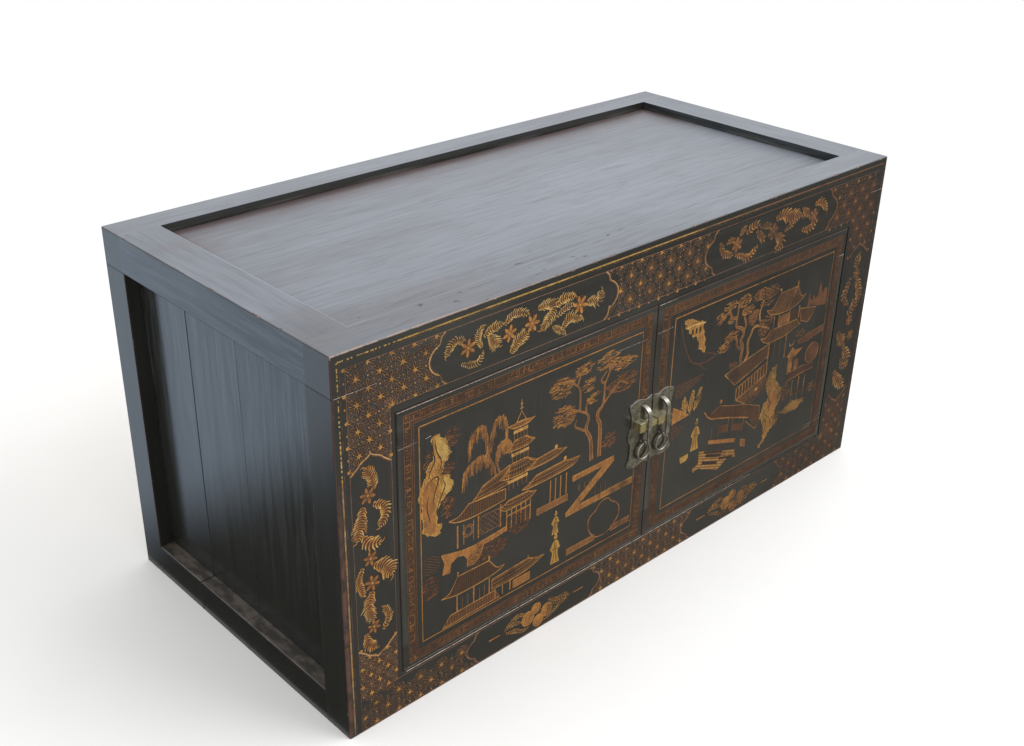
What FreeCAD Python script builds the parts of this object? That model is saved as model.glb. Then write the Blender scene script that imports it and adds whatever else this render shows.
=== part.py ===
import FreeCAD
import Part
import os
import re

# A low two-door lacquer cabinet: posts, frame-and-panel top and sides, pivot-hung doors, lock fitting.
# Millimetres, +Z up, the doors face -Y, and the origin is on the floor under the middle of the whole.

SHEET = "Sizes"
PARTS_FOLDER = "parts"

# Every size that can be set, with what it measures
SIZES = (
    ("width", 1050, "whole cabinet, side to side"),
    ("depth", 498, "whole cabinet, front to back, without the lock fitting"),
    ("height", 521, "floor to the upper face of the top frame"),
    ("post_width", 82, "post, across the front"),
    ("post_depth", 48, "post, front to back, also the rails and sills between posts"),
    ("corner_round", 2.2, "rounding of the outer corners"),
    ("top_thick", 51, "top frame, up and down"),
    ("top_end_width", 58, "end rail of the top frame"),
    ("top_recess", 13, "upper face of the top frame down to its boards"),
    ("top_board_thick", 14, "boards of the top"),
    ("top_batten_thick", 18, "battens under the top boards"),
    ("top_batten_width", 40, "battens under the top boards, side to side"),
    ("top_batten_spacing", 330, "between the centre lines of the two battens"),
    ("top_batten_tenon", 10, "stub tenon of a top batten"),
    ("top_batten_shoulder", 4, "shoulder above and below that stub tenon"),
    ("head_height", 44.5, "head rail over the doors"),
    ("sill_height", 57, "front and back sills"),
    ("side_sill_height", 47, "side sills"),
    ("side_recess", 21, "outer side face in to the side boards"),
    ("side_board_thick", 12, "side boards"),
    ("side_back_board", 111, "bare width of the rear side board"),
    ("side_middle_board", 114, "width of the middle side board"),
    ("sill_wall", 4, "wood between the side groove and the floor groove of a side sill"),
    ("back_recess", 10, "back face in to the back boards"),
    ("back_board_thick", 10, "back boards"),
    ("floor_level", 42, "floor of the cabinet, upper face"),
    ("floor_board_thick", 14, "floor boards"),
    ("bearer_thick", 20, "bearer under the floor boards"),
    ("bearer_width", 40, "bearer, side to side"),
    ("bearer_tenon", 12, "stub tenon of the bearer"),
    ("bearer_shoulder", 4, "shoulder above and below that stub tenon"),
    ("panel_groove", 8, "depth of every groove that takes a board"),
    ("panel_float", 0.5, "room left at the bottom of a groove"),
    ("board_seam", 0.4, "gap between two boards of a panel"),
    ("tenon_length", 25, "tenons of the rails and sills"),
    ("tenon_thick", 16, "tenons of the rails and sills"),
    ("tenon_shoulder", 10, "shoulder above and below those tenons"),
    ("tenon_web", 3, "wood between a tenon and a groove beside it"),
    ("post_tenon_width", 22, "tenon on top of a post, side to side"),
    ("post_tenon_thick", 20, "tenon on top of a post, front to back"),
    ("post_tenon_length", 34, "tenon on top of a post, upward"),
    ("end_tenon_width", 30, "tenon of a top end rail, side to side"),
    ("door_gap", 1.5, "gap round the doors"),
    ("meeting_gap", 2, "gap between the two doors"),
    ("door_thick", 24, "doors, front to back"),
    ("door_rail", 43, "top and bottom rails of a door"),
    ("stile_width", 45, "stiles of a door"),
    ("hinge_round", 2.5, "rounding of a door's front edge beside its post"),
    ("door_arris", 1.0, "rounding of the other front edges of a door"),
    ("stile_tenon_width", 25, "tenon of a stile, side to side"),
    ("stile_tenon_thick", 10, "tenon of a stile, front to back"),
    ("tongue_setback", 8, "front of a door panel back to its tongue"),
    ("tongue_thick", 6, "tongue of a door panel"),
    ("door_batten_height", 34, "batten behind a door panel"),
    ("door_batten_thick", 8, "batten behind a door panel, front to back"),
    ("door_batten_tenon", 6, "stub tenon of that batten"),
    ("pivot_inset", 20, "hinge edge of a door in to its pivot"),
    ("pivot_setback", 9, "front of a door back to its pivot"),
    ("pivot_radius", 5, "pivot pins"),
    ("pivot_clearance", 0.05, "running clearance round a pivot pin"),
    ("pivot_seat", 24, "pivot pin inside the door"),
    ("pivot_reach", 16, "pivot pin outside the door"),
    ("pivot_foot", 0.3, "room under or over the end of a pivot pin"),
    ("stop_length", 300, "door stop, side to side"),
    ("stop_depth", 16, "door stop, front to back"),
    ("stop_height", 12, "door stop, up and down"),
    ("stop_clearance", 0.5, "back of a closed door to the stop"),
    ("lock_level", 239, "floor to the middle of the lock plates"),
    ("lock_proud", 17, "front of the doors to the front of the strap loops"),
    ("plate_width", 45, "meeting line out to the side of a lock plate"),
    ("plate_height", 106, "lock plate, up and down"),
    ("plate_thick", 1.5, "lock plate"),
    ("plate_inset", 0.3, "meeting edge of a door to its lock plate"),
    ("plate_dip", 3.2, "depth of the dips in a plate's upper and lower edge"),
    ("plate_waist", 4.0, "depth of the hollows in a plate's side"),
    ("plate_nose", 1.5, "how far the middle point of a plate's side stands out"),
    ("loop_offset", 19, "meeting line out to the middle of a strap loop"),
    ("loop_width", 7, "strap loop, side to side"),
    ("loop_thick", 2.5, "strap of a loop"),
    ("loop_top", 43, "middle of the plate up to the top of a loop"),
    ("loop_rest", 9.5, "middle of the plate up to the lower leg of a loop"),
    ("loop_tail", 10, "middle of the plate down to the end of the strap"),
    ("loop_bend", 14, "outer rounding where the strap turns in"),
    ("leg_reach", 14, "legs of a loop inside the door"),
    ("nail_radius", 0.8, "plate nails"),
    ("nail_head", 2.3, "domed head of a plate nail, radius"),
    ("nail_rise", 1.4, "domed head of a plate nail, height"),
    ("nail_reach", 6, "plate nail inside the door"),
    ("nail_top_out", 39, "upper nail, out from the meeting line"),
    ("nail_top_up", 46, "upper nail, above the middle of the plate"),
    ("nail_middle_out", 40, "middle nail, out from the meeting line"),
    ("nail_middle_up", 1, "middle nail, above the middle of the plate"),
    ("nail_low_out", 39, "lower nail, out from the meeting line"),
    ("nail_low_down", 46, "lower nail, below the middle of the plate"),
    ("ring_radius", 12.4, "ring pull, to the middle of its wire"),
    ("ring_wire", 1.6, "ring pull, radius of its wire"),
    ("ring_play", 0.35, "room round the ring inside its eye"),
    ("eye_wire", 1.1, "eye of a ring pull, radius of its wire"),
    ("eye_shank", 1.4, "shank of that eye, radius"),
    ("eye_drop", 14.8, "middle of the plate down to the eye"),
    ("eye_stand", 2.5, "lock plate to the bow of the eye"),
    ("eye_reach", 18, "shank of the eye inside the door"),
    ("bolt_clearance", 0.3, "room round the bolt in its fittings"),
    ("bolt_height", 8, "shank of the lock bolt, up and down"),
    ("bolt_head_length", 13.5, "head of the lock bolt, side to side"),
    ("bolt_head_height", 14, "head of the lock bolt, up and down"),
    ("bolt_hole", 1.6, "hole through the head of the lock bolt, radius"),
    ("bolt_tip", 0.6, "meeting line to the tip of the bolt and to the sleeve"),
    ("sleeve_wall", 1.2, "wall of the lock sleeve"),
)
ALIASES = {alias for alias, value, meaning in SIZES}

# Lengths that several pieces share, as formulas in the names above
FRONT = "((lock_proud - depth) / 2)"
BACK = "((lock_proud + depth) / 2)"
FRAME_TOP = "(height - top_thick)"
OPEN_WIDTH = "(width - 2 * post_width)"
OPEN_TOP = "(height - top_thick - head_height)"
SIDE_SPAN = "(depth - 2 * post_depth)"
TOP_SHELF = "(top_thick - top_recess - top_board_thick)"
FLOOR_UNDER = "(floor_level - floor_board_thick)"
SIDE_SILL_WIDTH = "(side_recess + side_board_thick + sill_wall + panel_groove)"
GRIP = "(panel_groove - panel_float)"
BOARD_FOOT = "(side_sill_height - panel_groove + panel_float)"
RAIL_TENON_RISE = "(sill_height - 2 * tenon_shoulder)"
HEAD_TENON_RISE = "(head_height - 2 * tenon_shoulder)"
SIDE_TENON_RISE = "(side_sill_height - panel_groove - tenon_shoulder - tenon_web)"
END_TENON_RISE = f"({TOP_SHELF} - 2 * tenon_web)"
DOOR_WIDTH = f"(({OPEN_WIDTH} - meeting_gap) / 2 - door_gap)"
DOOR_FOOT = "(sill_height + door_gap)"
DOOR_HEIGHT = f"({OPEN_TOP} - sill_height - 2 * door_gap)"
STILE_LENGTH = f"({DOOR_HEIGHT} - 2 * door_rail)"
STILE_TENON = "(door_rail - pivot_seat - tenon_web)"
PANEL_WIDTH = f"({DOOR_WIDTH} - 2 * stile_width)"
DOOR_BATTEN_AT = f"(({STILE_LENGTH} - door_batten_height) / 2)"
PIVOT_HOLE = "(pivot_radius + pivot_clearance)"
LOCK_IN_STILE = f"(lock_level - {DOOR_FOOT} - door_rail)"
LOOP_IN_STILE = "(loop_offset - meeting_gap / 2 - loop_width / 2)"
EYE_OUT = "(plate_thick + eye_stand + 2 * eye_wire + ring_wire + ring_play)"
LOOP_ROOM = "(lock_proud - loop_thick - plate_thick)"
SLEEVE_BORE = f"({LOOP_ROOM} - 2 * sleeve_wall)"
SLEEVE_BORE_HEIGHT = "(bolt_height + 2 * bolt_clearance)"
SLEEVE_HEIGHT = f"({SLEEVE_BORE_HEIGHT} + 2 * sleeve_wall)"
SLEEVE_FOOT = "(lock_level + loop_rest)"


def fill_sheet():
    """Put the sizes in a sheet of the document, one row each."""
    table = doc.addObject("Spreadsheet::Sheet", SHEET)
    for row, (alias, value, meaning) in enumerate(SIZES, start=1):
        table.set(f"A{row}", alias)
        table.set(f"B{row}", str(value))
        table.set(f"C{row}", meaning)
        table.setAlias(f"B{row}", alias)
    doc.recompute()
    return table


def bound(formula):
    """A formula in size names as an expression that reads the sheet."""
    return re.sub(r"[a-z_]+", lambda name: f"{SHEET}.{name.group()}", formula)


def bind(feature, **formulas):
    """Bind properties of a feature to formulas."""
    for name, formula in formulas.items():
        feature.setExpression(name, bound(formula))


def place(feature, corner):
    """Bind the position of a feature or body to three formulas."""
    for axis, formula in zip("xyz", corner):
        feature.setExpression(f"Placement.Base.{axis}", bound(formula))


def across(right, start, size):
    """Low x of a piece that starts some way in from the left or the right side of the cabinet."""
    if right:
        return f"width / 2 - ({start}) - ({size})"
    return f"-width / 2 + ({start})"


def along(back, start, size):
    """Low y of a piece that starts some way in from the front or the back of the cabinet."""
    if back:
        return f"{BACK} - ({start}) - ({size})"
    return f"{FRONT} + ({start})"


class Timber:
    """A body made of boxes: offsets count from its own low corner, or from the far side where it is flipped."""

    def __init__(self, label, size, corner, flip=""):
        self.size = dict(zip("xyz", size))
        self.flip = flip
        self.body = doc.addObject("PartDesign::Body", label)
        self.body.Label = label
        self.add("stock", size, ("0", "0", "0"))
        place(self.body, corner)
        pieces.append(self.body)

    def turned(self, axis, start, size):
        """Low coordinate of a feature along one axis."""
        if axis in self.flip:
            return f"{self.size[axis]} - ({start}) - ({size})"
        return start

    def box(self, kind, name, size, start):
        feature = self.body.newObject(kind, f"{self.body.Name}_{name}")
        bind(feature, Length=size[0], Width=size[1], Height=size[2])
        place(feature, [self.turned(*row) for row in zip("xyz", start, size)])
        self.last = feature

    def add(self, name, size, start):
        """Add a box."""
        self.box("PartDesign::AdditiveBox", name, size, start)

    def cut(self, name, size, start):
        """Cut a box away."""
        self.box("PartDesign::SubtractiveBox", name, size, start)

    def bore(self, name, radius, length, start, into=""):
        """Drill a round hole upward from a point, or into the piece from its front."""
        feature = self.body.newObject("PartDesign::SubtractiveCylinder", f"{self.body.Name}_{name}")
        bind(feature, Radius=radius, Height=length)
        if into == "y":
            feature.Placement = FreeCAD.Placement(FreeCAD.Vector(), INTO_DOOR)
            spans = ("0", "0", "0")
        else:
            spans = ("0", "0", length)
        place(feature, [self.turned(*row) for row in zip("xyz", start, spans)])
        self.last = feature

    def soften(self, name, radius, *sides):
        """Round straight edges, each named by the two faces that meet there."""
        doc.recompute()
        shape = self.last.Shape
        names = []
        for pair in sides:
            names += [f"Edge{index}" for index, edge in enumerate(shape.Edges, start=1) if self.meets(edge, pair)]
        feature = self.body.newObject("PartDesign::Fillet", f"{self.body.Name}_{name}")
        feature.Base = (self.last, names)
        bind(feature, Radius=radius)
        self.last = feature

    def meets(self, edge, pair):
        """Whether an edge lies on both named faces: of the stock, such as x0 and z1, or an axis and a level on it."""
        points = [vertex.Point for vertex in edge.Vertexes]
        for axis, end in pair:
            if end in "01":
                far = (end == "1") != (axis in self.flip)
                level = length_of(self.size[axis]) if far else 0
            else:
                level = length_of(end)
            if any(abs(getattr(point, axis) - level) > EDGE_TOLERANCE for point in points):
                return False
        return True


def length_of(formula):
    """The value of a formula in size names."""
    return float(sheet.evalExpression(bound(formula)))


def add_post(label, right, back):
    """One corner post with its top tenon and the mortises and grooves of what it carries."""
    post = Timber(label, ("post_width", "post_depth", FRAME_TOP),
                  (across(right, "0", "post_width"), along(back, "0", "post_depth"), "0"),
                  "x" * right + "y" * back)
    post.soften("corner", "corner_round", ("x0", "y0"))
    tenon = ("post_tenon_width", "post_tenon_thick", "post_tenon_length")
    post.add("tenon", tenon, (TENON_IN_POST, "(post_depth - post_tenon_thick) / 2", FRAME_TOP))
    inner = "post_width - tenon_length"
    middle = "(post_depth - tenon_thick) / 2"
    post.cut("sill_mortise", ("tenon_length", "tenon_thick", RAIL_TENON_RISE), (inner, middle, "tenon_shoulder"))
    post.cut("side_mortise", ("tenon_thick", "tenon_length", SIDE_TENON_RISE),
             (f"({SIDE_SILL_WIDTH} - tenon_thick) / 2", "post_depth - tenon_length", "tenon_shoulder"))
    side_foot = "side_sill_height - panel_groove"
    post.cut("side_groove", ("side_board_thick", "panel_groove", f"{FRAME_TOP} - ({side_foot})"),
             ("side_recess", "post_depth - panel_groove", side_foot))
    if back:
        back_foot = "sill_height - panel_groove"
        post.cut("back_groove", ("panel_groove", "back_board_thick", f"{FRAME_TOP} - ({back_foot})"),
                 ("post_width - panel_groove", "back_recess", back_foot))
    else:
        post.cut("head_mortise", ("tenon_length", "tenon_thick", HEAD_TENON_RISE),
                 (inner, middle, f"{OPEN_TOP} + tenon_shoulder"))


def add_top_long_rail(label, back):
    """Front or back rail of the top frame, which runs the whole width."""
    rail = Timber(label, ("width", "post_depth", "top_thick"),
                  ("-width / 2", along(back, "0", "post_depth"), FRAME_TOP), "y" * back)
    rail.soften("arris", "corner_round", ("y0", "z1"), ("x0", "z1"), ("x1", "z1"), ("x0", "y0"), ("x1", "y0"))
    for end, right in (("left", False), ("right", True)):
        tenon_x = f"width - {TENON_IN_POST} - post_tenon_width" if right else TENON_IN_POST
        rail.cut(f"{end}_post_mortise", ("post_tenon_width", "post_tenon_thick", "post_tenon_length"),
                 (tenon_x, "(post_depth - post_tenon_thick) / 2", "0"))
        end_x = "(top_end_width - end_tenon_width) / 2"
        if right:
            end_x = f"width - {end_x} - end_tenon_width"
        rail.cut(f"{end}_end_mortise", ("end_tenon_width", "tenon_length", END_TENON_RISE),
                 (end_x, "post_depth - tenon_length", "tenon_web"))
        batten_x = f"(width {'+' if right else '-'} top_batten_spacing - top_batten_width) / 2"
        rail.cut(f"{end}_batten_mortise",
                 ("top_batten_width", "top_batten_tenon", "top_batten_thick - 2 * top_batten_shoulder"),
                 (batten_x, "post_depth - top_batten_tenon", f"{TOP_SHELF} - top_batten_thick + top_batten_shoulder"))
    groove_x = "top_end_width - panel_groove"
    rail.cut("board_groove", (f"width - 2 * ({groove_x})", "panel_groove", "top_board_thick"),
             (groove_x, "post_depth - panel_groove", TOP_SHELF))
    if back:
        rail.cut("back_groove", (f"{OPEN_WIDTH} + 2 * panel_groove", "back_board_thick", "panel_groove"),
                 ("post_width - panel_groove", "back_recess", "0"))


def add_top_end_rail(label, right):
    """Left or right rail of the top frame, tenoned between the long rails."""
    rail = Timber(label, ("top_end_width", SIDE_SPAN, "top_thick"),
                  (across(right, "0", "top_end_width"), along(False, "post_depth", SIDE_SPAN), FRAME_TOP),
                  "x" * right)
    rail.soften("arris", "corner_round", ("x0", "z1"))
    for name, start in (("front_tenon", "-tenon_length"), ("back_tenon", SIDE_SPAN)):
        rail.add(name, ("end_tenon_width", "tenon_length", END_TENON_RISE),
                 ("(top_end_width - end_tenon_width) / 2", start, "tenon_web"))
    rail.cut("board_groove", ("panel_groove", SIDE_SPAN, "top_board_thick"),
             ("top_end_width - panel_groove", "0", TOP_SHELF))
    rail.cut("side_groove", ("side_board_thick", SIDE_SPAN, "panel_groove"), ("side_recess", "0", "0"))


def add_top_panel():
    """The two boards of the top and the battens under them."""
    length = f"(width - 2 * top_end_width + 2 * {GRIP})"
    board_width = f"(({SIDE_SPAN} + 2 * {GRIP} - board_seam) / 2)"
    level = f"{FRAME_TOP} + {TOP_SHELF}"
    for label, back in (("top_front_board", False), ("top_back_board", True)):
        Timber(label, (length, board_width, "top_board_thick"),
               (f"-{length} / 2", along(back, f"post_depth - {GRIP}", board_width), level))
    for label, side in (("top_left_batten", "-"), ("top_right_batten", "+")):
        batten = Timber(label, ("top_batten_width", SIDE_SPAN, "top_batten_thick"),
                        (f"({side} top_batten_spacing - top_batten_width) / 2", along(False, "post_depth", SIDE_SPAN),
                         f"{level} - top_batten_thick"))
        for name, start in (("front_tenon", "-top_batten_tenon"), ("back_tenon", SIDE_SPAN)):
            batten.add(name, ("top_batten_width", "top_batten_tenon", "top_batten_thick - 2 * top_batten_shoulder"),
                       ("0", start, "top_batten_shoulder"))


def add_cross_rail(label, back, rise, foot, tenon_rise):
    """A rail between two posts with a tenon at each end."""
    rail = Timber(label, (OPEN_WIDTH, "post_depth", rise),
                  (f"-{OPEN_WIDTH} / 2", along(back, "0", "post_depth"), foot), "y" * back)
    for name, start in (("left_tenon", "-tenon_length"), ("right_tenon", OPEN_WIDTH)):
        rail.add(name, ("tenon_length", "tenon_thick", tenon_rise),
                 (start, "(post_depth - tenon_thick) / 2", "tenon_shoulder"))
    return rail


def add_front_and_back():
    """Head rail and front sill with their pivot holes, and the back sill with its groove."""
    pivots = (("left_pivot", "door_gap + pivot_inset"), ("right_pivot", f"{OPEN_WIDTH} - door_gap - pivot_inset"))
    head = add_cross_rail("head_rail", False, "head_height", OPEN_TOP, HEAD_TENON_RISE)
    front = add_cross_rail("front_sill", False, "sill_height", "0", RAIL_TENON_RISE)
    depth_of_hole = "pivot_reach - door_gap + pivot_foot"
    for name, start in pivots:
        head.bore(name, PIVOT_HOLE, depth_of_hole, (start, "pivot_setback", "0"))
        front.bore(name, PIVOT_HOLE, depth_of_hole, (start, "pivot_setback", f"sill_height - ({depth_of_hole})"))
    back = add_cross_rail("back_sill", True, "sill_height", "0", RAIL_TENON_RISE)
    back.cut("board_groove", (OPEN_WIDTH, "back_board_thick", "panel_groove"),
             ("0", "back_recess", "sill_height - panel_groove"))
    for sill in (front, back):
        sill.cut("bearer_mortise", ("bearer_width", "bearer_tenon", "bearer_thick - 2 * bearer_shoulder"),
                 (f"({OPEN_WIDTH} - bearer_width) / 2", "post_depth - bearer_tenon",
                  f"{FLOOR_UNDER} - bearer_thick + bearer_shoulder"))
    Timber("door_stop", ("stop_length", "stop_depth", "stop_height"),
           ("-stop_length / 2", f"{FRONT} + door_thick + stop_clearance", f"{OPEN_TOP} - stop_height"))


def add_side(side, right):
    """One side: its sill and three upright boards."""
    sill = Timber(f"{side}_side_sill", (SIDE_SILL_WIDTH, SIDE_SPAN, "side_sill_height"),
                  (across(right, "0", SIDE_SILL_WIDTH), along(False, "post_depth", SIDE_SPAN), "0"), "x" * right)
    sill.soften("arris", "corner_round", ("x0", "z1"))
    for name, start in (("front_tenon", "-tenon_length"), ("back_tenon", SIDE_SPAN)):
        sill.add(name, ("tenon_thick", "tenon_length", SIDE_TENON_RISE),
                 (f"({SIDE_SILL_WIDTH} - tenon_thick) / 2", start, "tenon_shoulder"))
    sill.cut("side_groove", ("side_board_thick", SIDE_SPAN, "panel_groove"),
             ("side_recess", "0", "side_sill_height - panel_groove"))
    sill.cut("floor_groove", ("panel_groove", SIDE_SPAN, "floor_board_thick"),
             (f"{SIDE_SILL_WIDTH} - panel_groove", "0", FLOOR_UNDER))
    rise = f"({FRAME_TOP} + {GRIP} - {BOARD_FOOT})"
    rear = f"(side_back_board + {GRIP} - board_seam / 2)"
    middle = "(side_middle_board - board_seam)"
    fore = f"({SIDE_SPAN} - side_back_board - side_middle_board + {GRIP} - board_seam / 2)"
    boards = (("front", fore, along(False, f"post_depth - {GRIP}", fore), "0"),
              ("middle", middle, along(True, "post_depth + side_back_board + board_seam / 2", middle), None),
              ("back", rear, along(True, f"post_depth - {GRIP}", rear), f"{rear} - {GRIP}"))
    for place_name, board_width, board_y, notch in boards:
        board = Timber(f"{side}_side_board_{place_name}", ("side_board_thick", board_width, rise),
                       (across(right, "side_recess", "side_board_thick"), board_y, BOARD_FOOT))
        if notch is not None:
            for name, level in (("upper_notch", f"{rise} - {GRIP}"), ("lower_notch", "0")):
                board.cut(name, ("side_board_thick", GRIP, GRIP), ("0", notch, level))


def add_back_and_floor():
    """Upright boards of the back, and the floor boards with their bearer."""
    rise = f"({FRAME_TOP} + {GRIP} - (sill_height - {GRIP}))"
    back_width = f"(({OPEN_WIDTH} + 2 * {GRIP} - 2 * board_seam) / 3)"
    floor_length = f"(width - 2 * {SIDE_SILL_WIDTH} + 2 * {GRIP})"
    floor_width = f"(({SIDE_SPAN} - 2 * board_seam) / 3)"
    for index, name in enumerate(("left", "middle", "right")):
        board = Timber(f"back_board_{name}", (back_width, "back_board_thick", rise),
                       (f"-{OPEN_WIDTH} / 2 - {GRIP} + {index} * ({back_width} + board_seam)",
                        along(True, "back_recess", "back_board_thick"), f"sill_height - {GRIP}"))
        if name != "middle":
            edge = "0" if name == "left" else f"{back_width} - {GRIP}"
            board.cut("lower_notch", (GRIP, "back_board_thick", GRIP), (edge, "0", "0"))
    for index, name in enumerate(("front", "middle", "back")):
        Timber(f"floor_board_{name}", (floor_length, floor_width, "floor_board_thick"),
               (f"-{floor_length} / 2", f"{FRONT} + post_depth + {index} * ({floor_width} + board_seam)", FLOOR_UNDER))
    bearer = Timber("floor_bearer", ("bearer_width", SIDE_SPAN, "bearer_thick"),
                    ("-bearer_width / 2", f"{FRONT} + post_depth", f"{FLOOR_UNDER} - bearer_thick"))
    for name, start in (("front_tenon", "-bearer_tenon"), ("back_tenon", SIDE_SPAN)):
        bearer.add(name, ("bearer_width", "bearer_tenon", "bearer_thick - 2 * bearer_shoulder"),
                   ("0", start, "bearer_shoulder"))


def add_door_rail(label, right, lower):
    """Full-width rail at the top or the foot of a door, with the pin hole at its hinge end."""
    level = DOOR_FOOT if lower else f"{DOOR_FOOT} + {DOOR_HEIGHT} - door_rail"
    rail = Timber(label, (DOOR_WIDTH, "door_thick", "door_rail"),
                  (across(right, "post_width + door_gap", DOOR_WIDTH), FRONT, level), "x" * right + "z" * lower)
    rail.soften("hinge_edge", "hinge_round", ("x0", "y0"))
    rail.soften("arris", "door_arris", ("y0", "z1"), ("x1", "y0"))
    rail.cut("panel_groove", (f"{PANEL_WIDTH} + 2 * panel_groove", "tongue_thick", "panel_groove"),
             ("stile_width - panel_groove", "tongue_setback", "0"))
    tenon_x = "(stile_width - panel_groove - tenon_web - stile_tenon_width)"
    for name, start in (("hinge", tenon_x), ("lock", f"{DOOR_WIDTH} - {tenon_x} - stile_tenon_width")):
        rail.cut(f"{name}_mortise", ("stile_tenon_width", "stile_tenon_thick", STILE_TENON),
                 (start, "(door_thick - stile_tenon_thick) / 2", "0"))
    rail.bore("pivot_hole", "pivot_radius", "pivot_seat", ("pivot_inset", "pivot_setback", "door_rail - pivot_seat"))


def add_stile(label, right, lock):
    """Upright of a door between its rails; a lock stile also takes the legs, shank and nails of its fittings."""
    start = "post_width + door_gap"
    if lock:
        start = f"post_width + door_gap + {DOOR_WIDTH} - stile_width"
    stile = Timber(label, ("stile_width", "door_thick", STILE_LENGTH),
                   (across(right, start, "stile_width"), FRONT, f"{DOOR_FOOT} + door_rail"),
                   "x" * (right != lock))
    stile.soften("edge", "door_arris" if lock else "hinge_round", ("x0", "y0"))
    for name, level in (("lower_tenon", f"-{STILE_TENON}"), ("upper_tenon", STILE_LENGTH)):
        stile.add(name, ("stile_tenon_width", "stile_tenon_thick", STILE_TENON),
                  ("stile_width - panel_groove - tenon_web - stile_tenon_width",
                   "(door_thick - stile_tenon_thick) / 2", level))
    stile.cut("panel_groove", ("panel_groove", "tongue_thick", STILE_LENGTH),
              ("stile_width - panel_groove", "tongue_setback", "0"))
    stile.cut("batten_mortise", ("door_batten_tenon", "door_batten_thick", "door_batten_height"),
              ("stile_width - door_batten_tenon", "tongue_setback + tongue_thick", DOOR_BATTEN_AT))
    if lock:
        for name, level in (("upper_leg", "loop_top - loop_thick"), ("lower_leg", "loop_rest - loop_thick")):
            stile.cut(name, ("loop_width", "leg_reach", "loop_thick"),
                      (LOOP_IN_STILE, "0", f"{LOCK_IN_STILE} + {level}"))
        stile.bore("eye_hole", "eye_shank", "eye_reach",
                   ("loop_offset - meeting_gap / 2", "0", f"{LOCK_IN_STILE} - eye_drop"), "y")
        for name, out, up in NAILS:
            stile.bore(f"{name}_nail", "nail_radius", "nail_reach",
                       (f"{out} - meeting_gap / 2", "0", f"{LOCK_IN_STILE} + {up}"), "y")


def add_door_panel(label, right):
    """Flush panel of a door, with a tongue all round."""
    panel = Timber(label, (PANEL_WIDTH, "tongue_setback + tongue_thick", STILE_LENGTH),
                   (across(right, "post_width + door_gap + stile_width", PANEL_WIDTH), FRONT,
                    f"{DOOR_FOOT} + door_rail"))
    panel.add("tongue", (f"{PANEL_WIDTH} + 2 * {GRIP}", "tongue_thick", f"{STILE_LENGTH} + 2 * {GRIP}"),
              (f"-{GRIP}", "tongue_setback", f"-{GRIP}"))


def add_pivot(label, right, lower):
    """One pivot pin, fixed in the door and turning in the sill or the head rail."""
    pin = doc.addObject("Part::Cylinder", label)
    pin.Label = label
    bind(pin, Radius="pivot_radius", Height="pivot_seat + pivot_reach")
    level = f"{DOOR_FOOT} - pivot_reach" if lower else f"{DOOR_FOOT} + {DOOR_HEIGHT} - pivot_seat"
    place(pin, (across(right, "post_width + door_gap + pivot_inset", "0"), f"{FRONT} + pivot_setback", level))
    pieces.append(pin)


def plate_edge(inner, outer, half):
    """Outline of a half plate, from the meeting edge round the side: dips, rounded corners and hollow sides."""
    span = outer - inner
    dip = half - sheet.plate_dip
    waist = outer - sheet.plate_waist
    nose = outer + sheet.plate_nose
    upper = (
        ((inner, half), (inner + span * DIP_MIDDLE_SHARE, dip), (inner + span * DIP_END_SHARE, dip)),
        ((inner + span * DIP_END_SHARE, dip), (inner + span * LOBE_MIDDLE_SHARE, half),
         (inner + span * LOBE_END_SHARE, dip)),
        ((inner + span * LOBE_END_SHARE, dip), (outer, half * CORNER_MIDDLE_SHARE), (outer, half * CORNER_END_SHARE)),
        ((outer, half * CORNER_END_SHARE), (waist, half * HOLLOW_MIDDLE_SHARE), (waist, half * HOLLOW_END_SHARE)),
    )
    lower = tuple(tuple((x, -z) for x, z in reversed(arc)) for arc in reversed(upper))
    point = (((waist, half * HOLLOW_END_SHARE), (nose, 0), (waist, -half * HOLLOW_END_SHARE)),)
    return upper + point + lower


def add_plate(label, sign):
    """Half of the lock plate: a scalloped sheet with holes for the loop, the eye and the nails."""
    half = sheet.plate_height / 2
    inner = sheet.meeting_gap / 2 + sheet.plate_inset
    arcs = plate_edge(inner, sheet.plate_width, half)
    edges = [Part.Arc(*[FreeCAD.Vector(sign * x, 0, z) for x, z in arc]).toShape() for arc in arcs]
    edges.append(Part.makeLine(FreeCAD.Vector(sign * inner, 0, -half), FreeCAD.Vector(sign * inner, 0, half)))
    shape = Part.Face(Part.Wire(edges)).extrude(FreeCAD.Vector(0, -sheet.plate_thick, 0))
    leg_x = sign * sheet.loop_offset - sheet.loop_width / 2
    for level in (sheet.loop_top, sheet.loop_rest):
        corner = FreeCAD.Vector(leg_x, -sheet.plate_thick, level - sheet.loop_thick)
        shape = shape.cut(Part.makeBox(sheet.loop_width, sheet.plate_thick, sheet.loop_thick, corner))
    holes = [(sheet.loop_offset, -sheet.eye_drop, sheet.eye_shank)]
    holes += [(length_of(out), length_of(up), sheet.nail_radius) for name, out, up in NAILS]
    for out, up, radius in holes:
        shape = shape.cut(Part.makeCylinder(radius, sheet.plate_thick, FreeCAD.Vector(sign * out, 0, up),
                                            TO_FRONT))
    add_made(label, shape)


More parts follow.
